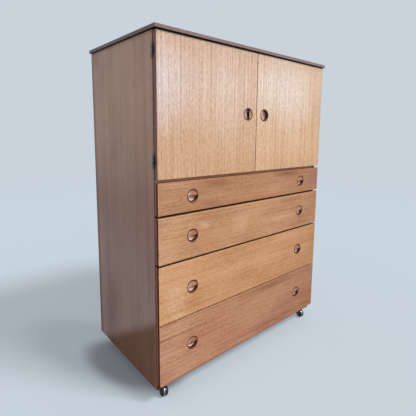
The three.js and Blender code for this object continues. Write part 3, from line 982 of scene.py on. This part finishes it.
drawerGrain = {
    "grain": "across",
    "paler": (12, 17, 19),
    "darker": (34, 38, 36),
    "bands": 0.9,
    "streaks": 1.5,
    "fibres": 1.3,
    "pores": 0.35,
    "rim": ((0, 1, 0), (0, 1, 0), 0.002, (226, 178, 138), 0.45),
}
drawerShades = {
    "right": (0.12, 0.43, (-26, -26, -22), 0.6),  # from, to, steps from the middle tone, strength
    "left": (0.25, 0.42, (10, 14, 16), 0.7),
    "top": (-14, -16, -14),
    # the third drawer's top edge darker: painted shade in the gap above it
    "darkTops": {3: (92, 52, 36)},
    "lowestEdge": (0.0030, 0.0008, (96, 58, 46), 0.85),  # painted shade: a dark line up from the lowest drawer's lower edge
}


def doorPiece(name, side):
    node = f"door_{name}"
    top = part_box(node)[1].z
    start, end, tint, strength = doorShades["topLine"]
    fades = (*doorShades["fades"], ((0, 0, 1), top - start, top - end, tint, strength))
    face = frontFace(f"door_veneer_{name}", "door", node, {**doorGrain, **doorLooks[name]}, fades)
    inner = woodMaterial(f"door_inner_{name}", grain="up", **innerTones, offset=(side, 0.4, 0))
    materials = [face, inner, doorEdge, levelEdge, levelEdge]
    frontPiece(f"door_{name}_board", node, [f"door_handle_{name}"], f"{name}_door", materials)


def drawerFront(number):
    node = f"drawer_{number}_front"
    looks = {**drawerGrain, **drawerLooks[number]}
    fades = []
    for way, key in ((1, "right"), (-1, "left")):
        start, end, steps, strength = drawerShades[key]
        fades.append(((way, 0, 0), start, end, np.add(looks["mid"], steps), strength))
    if number == drawerNumbers[-1]:
        start, end, tint, strength = drawerShades["lowestEdge"]
        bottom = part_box(node)[0].z
        fades.append(((0, 0, -1), -bottom - start, -bottom - end, tint, strength))
    face = frontFace(f"drawer_veneer_{number}", "drawer", node, looks, fades)
    inner = woodMaterial(f"drawer_inner_{number}", grain="across", **innerTones, offset=(number, 0.2, 0))
    topMid = drawerShades["darkTops"].get(number, np.add(looks["mid"], drawerShades["top"]))
    top = woodMaterial(f"drawer_edge_{number}", grain="across", mid=topMid, shine=0.3)
    handles = [f"drawer_{number}_handle_{name}" for name, side in sides]
    materials = [face, inner, drawerSideEdge, top, levelEdge]
    frontPiece(f"drawer_{number}_board", node, handles, f"drawer_{number}", materials)


for sideName, sideSign in sides:
    doorPiece(sideName, sideSign)
for drawerNumber in drawerNumbers:
    drawerFront(drawerNumber)
print("fronts made")


# Handles: a turned cup with a proud rim, and a dished lip over part of it

handle = {
    "radius": 0.0234,
    "dishRadius": 0.0188,
    "rimHeight": 0.003,
    "rimCrest": 0.0014,
    "rimFullness": 0.8,  # power of the sine in its section: below 1 it is fuller than round
    # Where the rim's inner side starts: its depth, and how far inside the dish's radius
    "rimFoot": 0.0012,
    "rimFootIn": 0.0003,
    "insertRadius": 0.0205,
    "insertDepth": 0.017,
    "pocketRadius": 0.0180,
    "pocketDepth": 0.0115,
    "wallTop": 0.0035,
    "fillet": 0.004,
    "dishDepth": 0.003,
    "lipThickness": 0.003,
    "undercut": 0.008,
    # Before, past and below the corner where the underside turns down to the floor
    "undercutLead": 0.0012,
    "undercutPast": 0.0003,
    "undercutDrop": 0.001,
    "doorLipFrom": 0.0085,  # on the doors the lip is the smaller part
    "clearance": 0.0001,
    "segments": 64,
    "rimSteps": 12,
    "filletSteps": 5,
    "lipSteps": 40,
    "lipTopSteps": 9,
    "noseSteps": 8,
}


def cupSurfaces(values):
    # The profile runs from the pocket's floor up its wall, over the rim and back round the insert: a quarter
    # circle joins floor and wall, and the rim's height is a sine over its width, raised to a power
    turn = np.linspace(0, math.pi / 2, values["filletSteps"] + 1)
    fillet, clearance = values["fillet"], values["clearance"]
    wallRadius, floor = values["pocketRadius"], values["pocketDepth"]
    bend = np.stack([np.sin(turn), np.cos(turn)], -1)
    corner = np.array((wallRadius - fillet, floor - fillet)) + fillet * bend
    base = [(0, floor), (wallRadius / 2, floor), corner[0]]
    wallTop = (wallRadius, values["wallTop"])
    over = np.linspace(math.pi, 0, values["rimSteps"] + 1)
    outerRadius, innerRadius = values["radius"], values["dishRadius"]
    middle, half = (outerRadius + innerRadius) / 2, (outerRadius - innerRadius) / 2
    rise = (values["rimCrest"] - clearance) * np.sin(over) ** values["rimFullness"]
    rim = np.stack([middle + half * np.cos(over), -clearance - rise], -1)
    crest = values["rimSteps"] // 2
    inner = [wallTop, (innerRadius - values["rimFootIn"], values["rimFoot"]), *rim[: crest + 1]]
    insertRadius, insertDepth = values["insertRadius"], values["insertDepth"]
    insert = [rim[-1], (insertRadius, -clearance), (insertRadius, insertDepth), (0, insertDepth)]
    parts = ((base, 2), ([*corner, wallTop], 3), (inner, 4), (rim[crest:], 0), (insert, 0))
    return [lathe(profile, values["segments"], slot) for profile, slot in parts]


def lipSurface(values, start):
    # A loop of points in the plane across the lip's straight edge, carried along that edge and cut off at the
    # circle: the dished top, the round nose, the underside and the step down to the pocket's floor. The top
    # is a paraboloid, whose depth falls with the square of the distance from the handle's axis
    radius, pocket, thickness = values["dishRadius"], values["pocketRadius"], values["lipThickness"]
    sweep = np.linspace(0, math.pi, values["lipSteps"] + 1)
    along = math.sqrt(radius**2 - start**2) * np.cos(sweep)
    reach = np.sqrt(radius**2 - along**2)
    nose = thickness / 2
    turn = np.linspace(0, math.pi, values["noseSteps"] + 1)
    inwards = np.linspace(1, 0, values["lipTopSteps"] + 1)[:-1]
    stepIn = values["undercut"] * (pocket - start) / pocket
    corner = [stepIn - values["undercutLead"], stepIn, stepIn + values["undercutPast"]]
    top = nose + (radius - start - nose) * inwards
    z = start + np.concatenate([top, nose * (1 - np.sin(turn)), corner, [radius - start]])
    z = np.minimum(z[None, :], reach[:, None])
    below = np.zeros(z.shape[1])
    below[len(top) : len(top) + len(turn)] = thickness * (1 - np.cos(turn)) / 2
    spread = (along[:, None] ** 2 + z**2) / radius**2
    y = values["dishDepth"] * (1 - spread) - values["clearance"] + below
    underside = values["dishDepth"] + thickness
    floor = values["pocketDepth"] + values["clearance"]
    y[:, -4:] = (underside, underside + values["undercutDrop"], floor, floor)
    points = np.stack([np.broadcast_to(along[:, None], y.shape), y, z], -1)
    flat, faces, slot = surfaceOf(points, closeColumns=True)
    # The nose turns under at its middle: from there on the lip is dark, painted shade
    noseMiddle = len(top) + len(turn) // 2 - 1
    dark = faces[:, 0] % points.shape[1] >= noseMiddle
    return [(flat, faces[~dark], 1), (flat, faces[dark], 5)]


def handleSurfaces(values, lipFrom):
    # Lathes turn about Z; here their axis becomes +Y, into the board
    intoBoard = ((1, 0, 0), (0, 0, 1), (0, -1, 0))
    cups = [placed(cup, intoBoard) for cup in cupSurfaces(values)]
    return [*cups, *lipSurface(values, lipFrom)]


handleLooks = {
    "rim": {
        "mid": (74, 32, 22),
        "paler": (18, 12, 10),
        "darker": (22, 12, 10),
        "roughness": 0.34,
        "shine": 0.15,
        "coat": 0.05,
        # the rim's right side lighter: a painted lit patch
        "polish": (((0.95, 0.62, 0), (0.22, 0.34, 1), (176, 112, 80), 0.7),),
    },
    "lip": {
        "mid": (216, 146, 100),
        "fades": (((0, 0, 1), 0.42, 0.18, (184, 116, 84), 0.8),),  # the lower handles are darker
        "roughness": 0.28,
        "coat": 0.4,
        # pale spots at the dish's upper left: painted highlights
        "polish": (
            ((0.21, 0.62, 0), (0.08, 0.12, 1), (250, 236, 230), 0.8),
            ((0.32, 0.76, 0), (0.10, 0.10, 1), (250, 236, 230), 0.8),
        ),
    },
    "pocket": {
        "mid": (255, 196, 168),
        "paler": (4, 8, 10),
        "darker": (16, 18, 18),
        "roughness": 0.4,
        "fades": (((0, 0, 1), 0.46, 0.18, (158, 106, 90), 0.9),),
        # near black from the lip's edge inwards: painted shade under the lip
        "grime": (-0.10, -0.05, (8, 4, 4)),
    },
    "hollow": {"mid": (255, 186, 156), "paler": (4, 8, 10), "darker": (20, 22, 22), "roughness": 0.4},
    "inner": {
        "mid": (92, 48, 34),
        "roughness": 0.35,
        "coat": 0.1,
        # pale at the left: a painted highlight on the rim's inner slope
        "polish": (((0.10, 0.62, 0), (0.24, 0.42, 1), (240, 204, 188), 0.95),),
    },
    # the lip's underside and the step below it: near black, painted shade
    "under": {"mid": (26, 14, 10), "paler": (8, 6, 4), "darker": (8, 4, 4), "roughness": 0.6, "shine": 0.1},
}
# Under the rim the pocket's wall is dark, and it is lit further in: depths where that starts and is full
hollowShade = {"tint": (5, 3, 3), "depths": {"drawer": (0.0094, 0.0078), "door": (0.0107, 0.0093)}}


def handleMaterial(part, use, faceY):
    changes = {"grain": "across", "streaks": 1.6, "bump": 0.00004, **handleLooks[part]}
    if part == "hollow":
        start, end = hollowShade["depths"][use]
        changes["fades"] = (((0, 1, 0), faceY + start, faceY + end, hollowShade["tint"], 1.0),)
    return woodMaterial(f"turned_{use}_{part}", **changes)


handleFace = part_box("door_handle_left")[0].y + handle["rimHeight"]
handleMaterials = {
    use: [handleMaterial(part, use, handleFace) for part in handleLooks] for use in hollowShade["depths"]
}


def flatMaps(piece, centre, width, turn, lipFrom):
    # UVs straight from the front, 0 to 1 over the width about a centre; and a second map turned with the
    # handle, whose V starts at the lip's straight edge and grows under the lip
    data = piece.data
    places = np.empty(len(data.vertices) * 3)
    data.vertices.foreach_get("co", places)
    corners = np.empty(len(data.loops), np.int32)
    data.loops.foreach_get("vertex_index", corners)
    flat = places.reshape(-1, 3)[corners][:, [0, 2]] - centre
    across, lipwards = np.array(turn)[[0, 2]][:, [0, 2]].T
    own = np.stack([flat @ across, flat @ lipwards - lipFrom], -1)
    for name, found in (("UVMap", flat / width + 0.5), ("lipMap", own / width)):
        layer = data.uv_layers.new(name=name)
        layer.data.foreach_set("uv", found.ravel())


def handlePiece(node, body, pocketTowards, lipFrom=0.0):
    # pocketTowards is the angle from straight down, about the board's normal
    low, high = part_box(node)
    x, z = handleCentre(node)
    faceY = low.y + handle["rimHeight"]
    turn = Matrix.Rotation(pocketTowards, 3, "Y")
    surfaces = [placed(surface, turn, (x, faceY, z)) for surface in handleSurfaces(handle, lipFrom)]
    piece = solidPiece(f"{node}_turned", surfaces, handleMaterials["door" if lipFrom else "drawer"])
    flatMaps(piece, (x, z), 2 * handle["radius"], turn, lipFrom)
    fitted(piece, body, node)


for sideName, sideSign in sides:
    handlePiece(f"door_handle_{sideName}", f"{sideName}_door", -sideSign * math.pi / 2, handle["doorLipFrom"])
    for drawerNumber in drawerNumbers:
        handlePiece(f"drawer_{drawerNumber}_handle_{sideName}", f"drawer_{drawerNumber}", 0)
print("handles made")


# Drawer boxes, their bottoms and the runners

timberTones = {"mid": (210, 176, 130), "pore": (130, 96, 64)}
boxTones = {**timberTones, "bands": 0.8, "streaks": 0.9, "roughness": 0.6}
boxSide = woodMaterial("box_side", grain="deep", **boxTones)
boxBack = woodMaterial("box_back", grain="across", **boxTones)
runnerWood = woodMaterial("runner_wood", grain="deep", **timberTones, bands=0.5, streaks=0.7, roughness=0.55)
grooveReach = 0.006  # more than the depth of the groove that holds the bottom's edge


def boxSlots(number):
    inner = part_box(f"drawer_{number}_bottom")[1].x - grooveReach

    def slotOf(normal, centre):
        return 0 if abs(centre.x) > inner else 1

    return slotOf


for drawerNumber in drawerNumbers:
    drawer = f"drawer_{drawerNumber}"
    boxWoods = [boxSide, boxBack]
    dressNode(f"{drawer}_box", drawer, boxWoods, boxSlots(drawerNumber), carcass["edge"])
    dressNode(f"{drawer}_bottom", drawer, [hardboard])
    for sideName, sideSign in sides:
        runner = f"runner_{drawerNumber}_{sideName}"
        dressNode(runner, "carcass", [runnerWood], edge=carcass["edge"])
print("drawer boxes made")


# Metal and plastic

plainDefaults = {
    "worn": (168, 170, 172),
    "metallic": 0.0,
    "roughness": 0.4,
    "scale": 60,  # of the cloudy wear
    "bump": 0.00002,
}
brightPlate = {"scale": 80, "bump": 0.00001}
plainLooks = {
    "hinge_steel": {"shade": (140, 138, 136), "worn": (86, 80, 74), "metallic": 0.7, "roughness": 0.42},
    "hinge_dark": {"shade": (30, 28, 26), "worn": (44, 40, 36), "metallic": 0.3, "roughness": 0.6},
    "castor_plate": {"shade": (214, 218, 222), "metallic": 1.0, "roughness": 0.2, **brightPlate},
    "castor_neck": {"shade": (74, 76, 80), "worn": (50, 50, 52), "metallic": 0.8, **brightPlate},
    "castor_black": {"shade": (26, 27, 30), "worn": (44, 44, 46), "roughness": 0.32, "scale": 90},
    "catch_plastic": {"shade": (232, 227, 216), "worn": (206, 196, 178), "scale": 70},
}
plainWear = {
    "clouds": (4.0, 0.6),  # detail and roughness of the noise
    "wornFrom": 0.45,
    "wornTo": 0.75,
    "scuffs": (2.0, 0.5),
    "scuffStretch": (1, 1, 6),
    "scuffsFiner": 9,
    "smoothest": 0.75,  # shares of the roughness
    "roughest": 1.3,
}


def makePlainGroup(values):
    # One colour with cloudy wear and fine scuffs
    inputs = {"Vector": "Vector", "Scale": "Float", "Shade": "Color", "Worn": "Color"}
    inputs["Base Roughness"] = "Float"
    outputs = {"Color": "Color", "Roughness": "Float", "Height": "Float"}
    tree, given, result = newGroup("plainWear", inputs, outputs)
    clouds = noise(tree, given["Vector"], given["Scale"], *values["clouds"])
    drawnOut = stretched(tree, given["Vector"], values["scuffStretch"])
    scuffScale = calc(tree, "MULTIPLY", given["Scale"], values["scuffsFiner"])
    scuffs = noise(tree, drawnOut, scuffScale, *values["scuffs"])
    share = remap(tree, clouds, values["wornFrom"], values["wornTo"])
    shares = (values["smoothest"], values["roughest"])
    ends = [calc(tree, "MULTIPLY", given["Base Roughness"], part) for part in shares]
    tree.links.new(mixed(tree, share, given["Shade"], given["Worn"]), result["Color"])
    tree.links.new(remap(tree, scuffs, *noiseSpread, *ends), result["Roughness"])
    tree.links.new(scuffs, result["Height"])
    return tree


plainGroup = makePlainGroup(plainWear)


def plainMaterial(name, changes):
    values = {**plainDefaults, **changes}
    material, tree, shader = newMaterial(name)
    inputs = {"Vector": ownPlace(tree), "Scale": values["scale"], "Base Roughness": values["roughness"]}
    inputs["Shade"], inputs["Worn"] = colour(*values["shade"]), colour(*values["worn"])
    surface = useGroup(tree, plainGroup, inputs)
    tree.links.new(surface["Color"], shader["Base Color"])
    tree.links.new(surface["Roughness"], shader["Roughness"])
    tree.links.new(bumped(tree, surface["Height"], values["bump"]), shader["Normal"])
    shader["Metallic"].default_value = values["metallic"]
    return material


plain = {name: plainMaterial(name, changes) for name, changes in plainLooks.items()}
catchEdge = 0.0008
catchPlastic = [plain["catch_plastic"]]
dressNode("door_catch", "carcass", catchPlastic, edge=catchEdge, name="catch_dressed")


# Hinges: leaves with screws, and three knuckles on a pin; measured from the pin

hinge = {
    "length": 0.045,
    "barrel": 0.0033,
    "pin": 0.0013,
    "pinTip": 0.0003,
    "pinTipShare": 0.8,
    "bore": 0.0016,
    "knuckleGap": 0.0003,
    "middleShare": 0.38,
    "plateFrom": 0.0036,
    "plate": (0.0001, 0.0014),  # its bare face and its back, out from the plane between the leaves
    "soft": 0.0004,
    "screwRadius": 0.0026,
    "screwSoft": 0.0003,
    "screwSunk": 0.0002,
    "screwProud": 0.00006,
    "screwSlot": 0.0003,
    "screwSlotShare": 0.8,
    "screwSlotProud": 0.00001,  # above the head, so that it is seen
    "screwsAt": ((0.0105, -0.0155), (0.0148, 0.0), (0.0105, 0.0155)),
    "segments": 32,
}


def knuckleSurface(low, high, values, bore=0.0):
    # A short round bar, or a tube where it has a bore: its profile has a small slope at each end
    radius, soft = values["barrel"], values["soft"]
    lowEnd = [(bore, low), (radius - soft, low), (radius, low + soft)]
    highEnd = [(radius, high - soft), (radius - soft, high), (bore, high)]
    return lathe(lowEnd + highEnd, values["segments"], closed=bore > 0)


def screwSurfaces(values, outwards):
    # A low head that lies in a leaf's bare face, and the dark slot across it
    radius, proud, sunk = values["screwRadius"], values["screwProud"], -values["screwSunk"]
    head = [(0, sunk), (radius, sunk), (radius, 0), (radius - values["screwSoft"], proud), (0, proud)]
    x, y, z = radius * values["screwSlotShare"], values["screwSlot"], proud + values["screwSlotProud"]
    slot = boxSurface((-x, -y, 0), (x, y, z), 1)
    upright = ((1, 0, 0), (0, 0, outwards), (0, -outwards, 0))
    return [placed(part, upright) for part in (lathe(head, values["segments"]), slot)]


def leafSurfaces(values, inwards, back, reach, levels, bore):
    # inwards: the way from the pin to the free edge; back: from the plane between the leaves to this leaf
    near, far = (distance * back for distance in values["plate"])
    half = values["length"] / 2

    def plate(fromPin, toPin, low, high):
        x, y = sorted((fromPin * inwards, toPin * inwards)), sorted((near, far))
        return boxSurface((x[0], y[0], low), (x[1], y[1], high))

    surfaces = [plate(values["plateFrom"], reach, -half, half)]
    for low, high in levels:
        surfaces.append(plate(bore, values["plateFrom"] + values["knuckleGap"], low, high))
        surfaces.append(knuckleSurface(low, high, values, bore))
    for x, z in values["screwsAt"]:
        for part in screwSurfaces(values, -back):
            surfaces.append(placed(part, by=(x * inwards, near, z)))
    return surfaces


def hingePieces(level, name, side):
    values = hinge
    half = values["length"] / 2
    middle = half * values["middleShare"]
    gapped = middle + values["knuckleGap"]
    leaves = {
        "carcass": ("carcass", 1, ((-half, -gapped), (gapped, half)), 0.0),
        "door": (f"{name}_door", -1, ((-middle, middle),), values["bore"]),
    }
    axis = joints[f"{name}_door_hinge"]["pos_m"]
    for leaf, (body, back, levels, bore) in leaves.items():
        node = f"hinge_{level}_{name}_{leaf}_leaf"
        low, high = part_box(node)
        reach = abs((low.x if side > 0 else high.x) - axis[0])
        surfaces = leafSurfaces(values, -side, back, reach, levels, bore)
        if leaf == "carcass":
            pin, end = values["pin"], half - values["pinTip"]
            tip = [(0, -half), (pin * values["pinTipShare"], -half), (pin, -end)]
            surfaces.append(lathe([*tip, *((radius, -z) for radius, z in reversed(tip))], values["segments"]))
        surfaces = [placed(surface, by=(axis[0], axis[1], (low.z + high.z) / 2)) for surface in surfaces]
        piece = solidPiece(f"{node}_dressed", surfaces, [plain["hinge_steel"], plain["hinge_dark"]])
        fitted(piece, body, node)


for level in ("upper", "lower"):
    for sideName, sideSign in sides:
        hingePieces(level, sideName, sideSign)


# Castors: domed black wheels with bright caps, a bright web between them, and the neck that swivels

castorWheel = {
    "radius": 0.017,
    "innerFace": 0.003,
    "treadHalf": 0.006,
    "halfWidth": 0.015,
    "axle": 0.003,
    "shoulder": 0.0012,
    "shoulderSteps": 4,
    "capRadius": 0.0088,
    "groove": 0.0004,
    "grooveWidth": 0.0005,
    "segments": 48,
    "domeSteps": 22,
}
castorHood = {
    "webRadius": 0.015,
    "webHalf": 0.0025,
    "webSoft": 0.0008,
    "webSteps": 8,
    "wheelCentre": 0.017,
    "riser": (0.0048, 0.0022, 0.038),  # half length, half thickness, top
    # Radius and height of the points of three turned profiles
    "neck": ((0.0, 0.035), (0.0056, 0.035), (0.006, 0.0354), (0.006, 0.0412), (0, 0.0412)),
    "shoulder": (
        (0, 0.0407),
        (0.0094, 0.0407),
        (0.01, 0.0411),
        (0.01, 0.0423),
        (0.0096, 0.0427),
        (0, 0.0427),
    ),
    "stem": ((0, 0.0427), (0.004, 0.0427), (0.004, 0.0574), (0.0034, 0.058), (0, 0.058)),
    "segments": 40,
}


def wheelSurfaces(values):
    # Half a wheel pair from the axle out over the tread and its dome, then mirrored. The dome is a quarter
    # ellipse: its radius falls as a cosine while its height rises as a sine, less a narrow bell-shaped groove
    turn = np.linspace(0, math.pi / 2, values["shoulderSteps"] + 1)
    soft, tread = values["shoulder"], values["radius"]
    bend = np.stack([np.sin(turn), -np.cos(turn)], -1)
    corner = np.array((tread - soft, values["innerFace"] + soft)) + soft * bend
    rise = np.linspace(0, math.pi / 2, values["domeSteps"] + 1)
    radius = tread * np.cos(rise)
    height = values["treadHalf"] + (values["halfWidth"] - values["treadHalf"]) * np.sin(rise)
    height -= values["groove"] * np.exp(-(((radius - values["capRadius"]) / values["grooveWidth"]) ** 2))
    dome = np.stack([np.where(radius < finish["mergeWithin"], 0, radius), height], -1)
    capFrom = int(np.argmax(radius < values["capRadius"]))
    body = np.concatenate([[(values["axle"], values["innerFace"])], corner, dome[: capFrom + 1]])
    surfaces = []
    for side in (1, -1):
        for profile, slot in ((body, 0), (dome[capFrom:], 1)):
            surfaces.append(lathe(profile * (1, side), values["segments"], slot))
    axle = [(values["axle"], -values["innerFace"]), (values["axle"], values["innerFace"])]
    surfaces.append(lathe(axle, values["segments"], 1))
    return surfaces


def webSurface(values):
    # A thick disc on the wheels' axle, its rim rounded by two quarter circles with a flat between them
    turn = np.linspace(-math.pi / 2, math.pi / 2, values["webSteps"] + 1)
    half, soft = values["webHalf"], values["webSoft"]
    edge = np.stack([values["webRadius"] - soft + soft * np.cos(turn), soft * np.sin(turn)], -1)
    edge[:, 1] += np.sign(turn) * (half - soft)
    return lathe([(0, -half), *edge, (0, half)], values["segments"])


def castorPieces(name):
    swivel, roll = joints[f"castor_{name}_turn"], joints[f"castor_{name}_roll"]
    axle = Vector(roll["axis"]).normalized()
    heading = axle.cross(Vector((0, 0, 1)))
    alongAxle = Matrix((heading, Vector((0, 0, 1)), -axle)).transposed()
    upright = Matrix((heading, axle, Vector((0, 0, 1)))).transposed()
    wheelAt, swivelAt = roll["pos_m"], (swivel["pos_m"][0], swivel["pos_m"][1], 0)
    wheels = [placed(surface, alongAxle, wheelAt) for surface in wheelSurfaces(castorWheel)]
    finishes = [plain["castor_black"], plain["castor_plate"]]
    wheelPiece = solidPiece(f"castor_{name}_wheels_turned", wheels, finishes)
    fitted(wheelPiece, f"castor_{name}_wheel_pair", f"castor_{name}_wheels")
    values = castorHood
    half, thick, top = values["riser"]
    riser = boxSurface((-half, -thick, values["wheelCentre"]), (half, thick, top), 1)
    hood = [placed(webSurface(values), alongAxle, wheelAt), placed(riser, upright, swivelAt)]
    for part in ("neck", "shoulder", "stem"):
        hood.append(placed(lathe(values[part], values["segments"], 1), by=swivelAt))
    finishes = [plain["castor_plate"], plain["castor_neck"]]
    hoodPiece = solidPiece(f"castor_{name}_hood_turned", hood, finishes)
    fitted(hoodPiece, f"castor_{name}_swivel", f"castor_{name}_hood")


for end in ("front", "rear"):
    for sideName, sideSign in sides:
        castorPieces(f"{end}_{sideName}")
print("fittings made")


# Floor, background and lights

studio = {
    "page": (201, 211, 220),
    "litPage": (201, 214, 225),  # makes up for the warm light that the wood throws on the floor
    "floorRings": (0.0, 0.5, 1.5, 4.0, 9.0),
    "floorSegments": 96,
    "fadeFrom": 2.5,
    "fadeTo": 7.0,
    "floorGlow": 0.45,  # share of the floor's paleness that only the camera sees
    # The glow weakens in two ellipses beside the carcass, on its shaded side, as a painted contact shadow:
    # place, turn and size; from and to, as shares of that size; and what is left of the glow in the middle
    "contacts": (
        ((-0.469, 0.220, 0), (0, 0, 0.408), (0.154, 0.411, 1), 0.59, 1.23, 0.80),
        ((-0.409, 0.024, 0), (0, 0, 0.303), (0.118, 0.248, 1), 0.65, 1.12, 0.265),
    ),
    "ambient": 0.42,
    "lampDistance": 4,
}

lamps = {
    # azimuth from -Y towards +X, elevation, strength, angle of the disc
    "key": (31, 50, 2.15, 14),
    "window": (42, 10, 0.6, 26),
}


def contactShade(tree, values):
    left = 1.0
    for centre, turn, size, start, end, least in values["contacts"]:
        ellipse = {"Vector": ownPlace(tree), "Location": centre, "Rotation": turn, "Scale": size}
        shares = addNode(tree, "ShaderNodeMapping", ellipse, vector_type="TEXTURE")
        distance = vectorCalc(tree, "LENGTH", shares)
        left = calc(tree, "MULTIPLY", remap(tree, distance, start, end, least, 1.0, smooth=True), left)
    return left


def makeFloor(values):
    material = bpy.data.materials.new("floor")
    material.use_nodes = True
    tree = material.node_tree
    tree.nodes.clear()
    # The floor's colour makes up for how bright the lamps leave a white floor
    lit = values["ambient"]
    for azimuth, elevation, strength, disc in lamps.values():
        lit += strength * math.sin(math.radians(elevation)) / math.pi
    lessGlow = (1 - values["floorGlow"]) / lit
    litPage = [level * lessGlow for level in colour(*values["litPage"])[:3]]
    plainFloor = addNode(tree, "ShaderNodeBsdfDiffuse", {"Color": (*litPage, 1.0)})
    seen = tree.nodes.new("ShaderNodeLightPath").outputs["Is Camera Ray"]
    glowing = calc(tree, "MULTIPLY", seen, values["floorGlow"])
    glowing = calc(tree, "MULTIPLY", glowing, contactShade(tree, values))
    glow = addNode(tree, "ShaderNodeEmission", {"Color": colour(*values["page"]), "Strength": glowing})
    glowingFloor = addNode(tree, "ShaderNodeAddShader", {0: plainFloor, 1: glow})
    clear = addNode(tree, "ShaderNodeBsdfTransparent", {})
    distance = vectorCalc(tree, "LENGTH", ownPlace(tree))
    share = remap(tree, distance, values["fadeFrom"], values["fadeTo"], smooth=True)
    shown = addNode(tree, "ShaderNodeMixShader", {0: share, 1: glowingFloor, 2: clear})
    output = tree.nodes.new("ShaderNodeOutputMaterial")
    tree.links.new(shown, output.inputs["Surface"])
    disc = lathe([(radius, 0) for radius in values["floorRings"]], values["floorSegments"])
    floor = solidPiece("floor", [disc], [material], smooth=False)
    up = sum(face.normal.z * face.area for face in floor.data.polygons)
    if up < 0:
        floor.data.flip_normals()


def makeWorld(values):
    world = bpy.data.worlds.new("world")
    world.use_nodes = True
    bpy.context.scene.world = world
    tree = world.node_tree
    tree.nodes.clear()
    path = tree.nodes.new("ShaderNodeLightPath").outputs
    seen = calc(tree, "MAXIMUM", path["Is Camera Ray"], path["Is Glossy Ray"])
    seen = calc(tree, "MAXIMUM", seen, path["Is Transmission Ray"])
    light = addNode(tree, "ShaderNodeBackground", {"Color": (1, 1, 1, 1), "Strength": values["ambient"]})
    page = addNode(tree, "ShaderNodeBackground", {"Color": colour(*values["page"]), "Strength": 1.0})
    shown = addNode(tree, "ShaderNodeMixShader", {0: seen, 1: light, 2: page})
    output = tree.nodes.new("ShaderNodeOutputWorld")
    tree.links.new(shown, output.inputs["Surface"])


def makeLamps(values, distance):
    for name, (azimuth, elevation, strength, disc) in values.items():
        data = bpy.data.lights.new(name, "SUN")
        data.energy = strength
        data.angle = math.radians(disc)
        lamp = bpy.data.objects.new(name, data)
        turn, rise = math.radians(azimuth), math.radians(elevation)
        source = Vector((math.sin(turn) * math.cos(rise), -math.cos(turn) * math.cos(rise), math.sin(rise)))
        lamp.rotation_mode = "QUATERNION"
        lamp.rotation_quaternion = source.to_track_quat("Z", "Y")
        lamp.location = source * distance
        bpy.context.scene.collection.objects.link(lamp)


makeFloor(studio)
makeWorld(studio)
makeLamps(lamps, studio["lampDistance"])
bpy.context.scene.view_settings.view_transform = "Standard"
print("studio made")
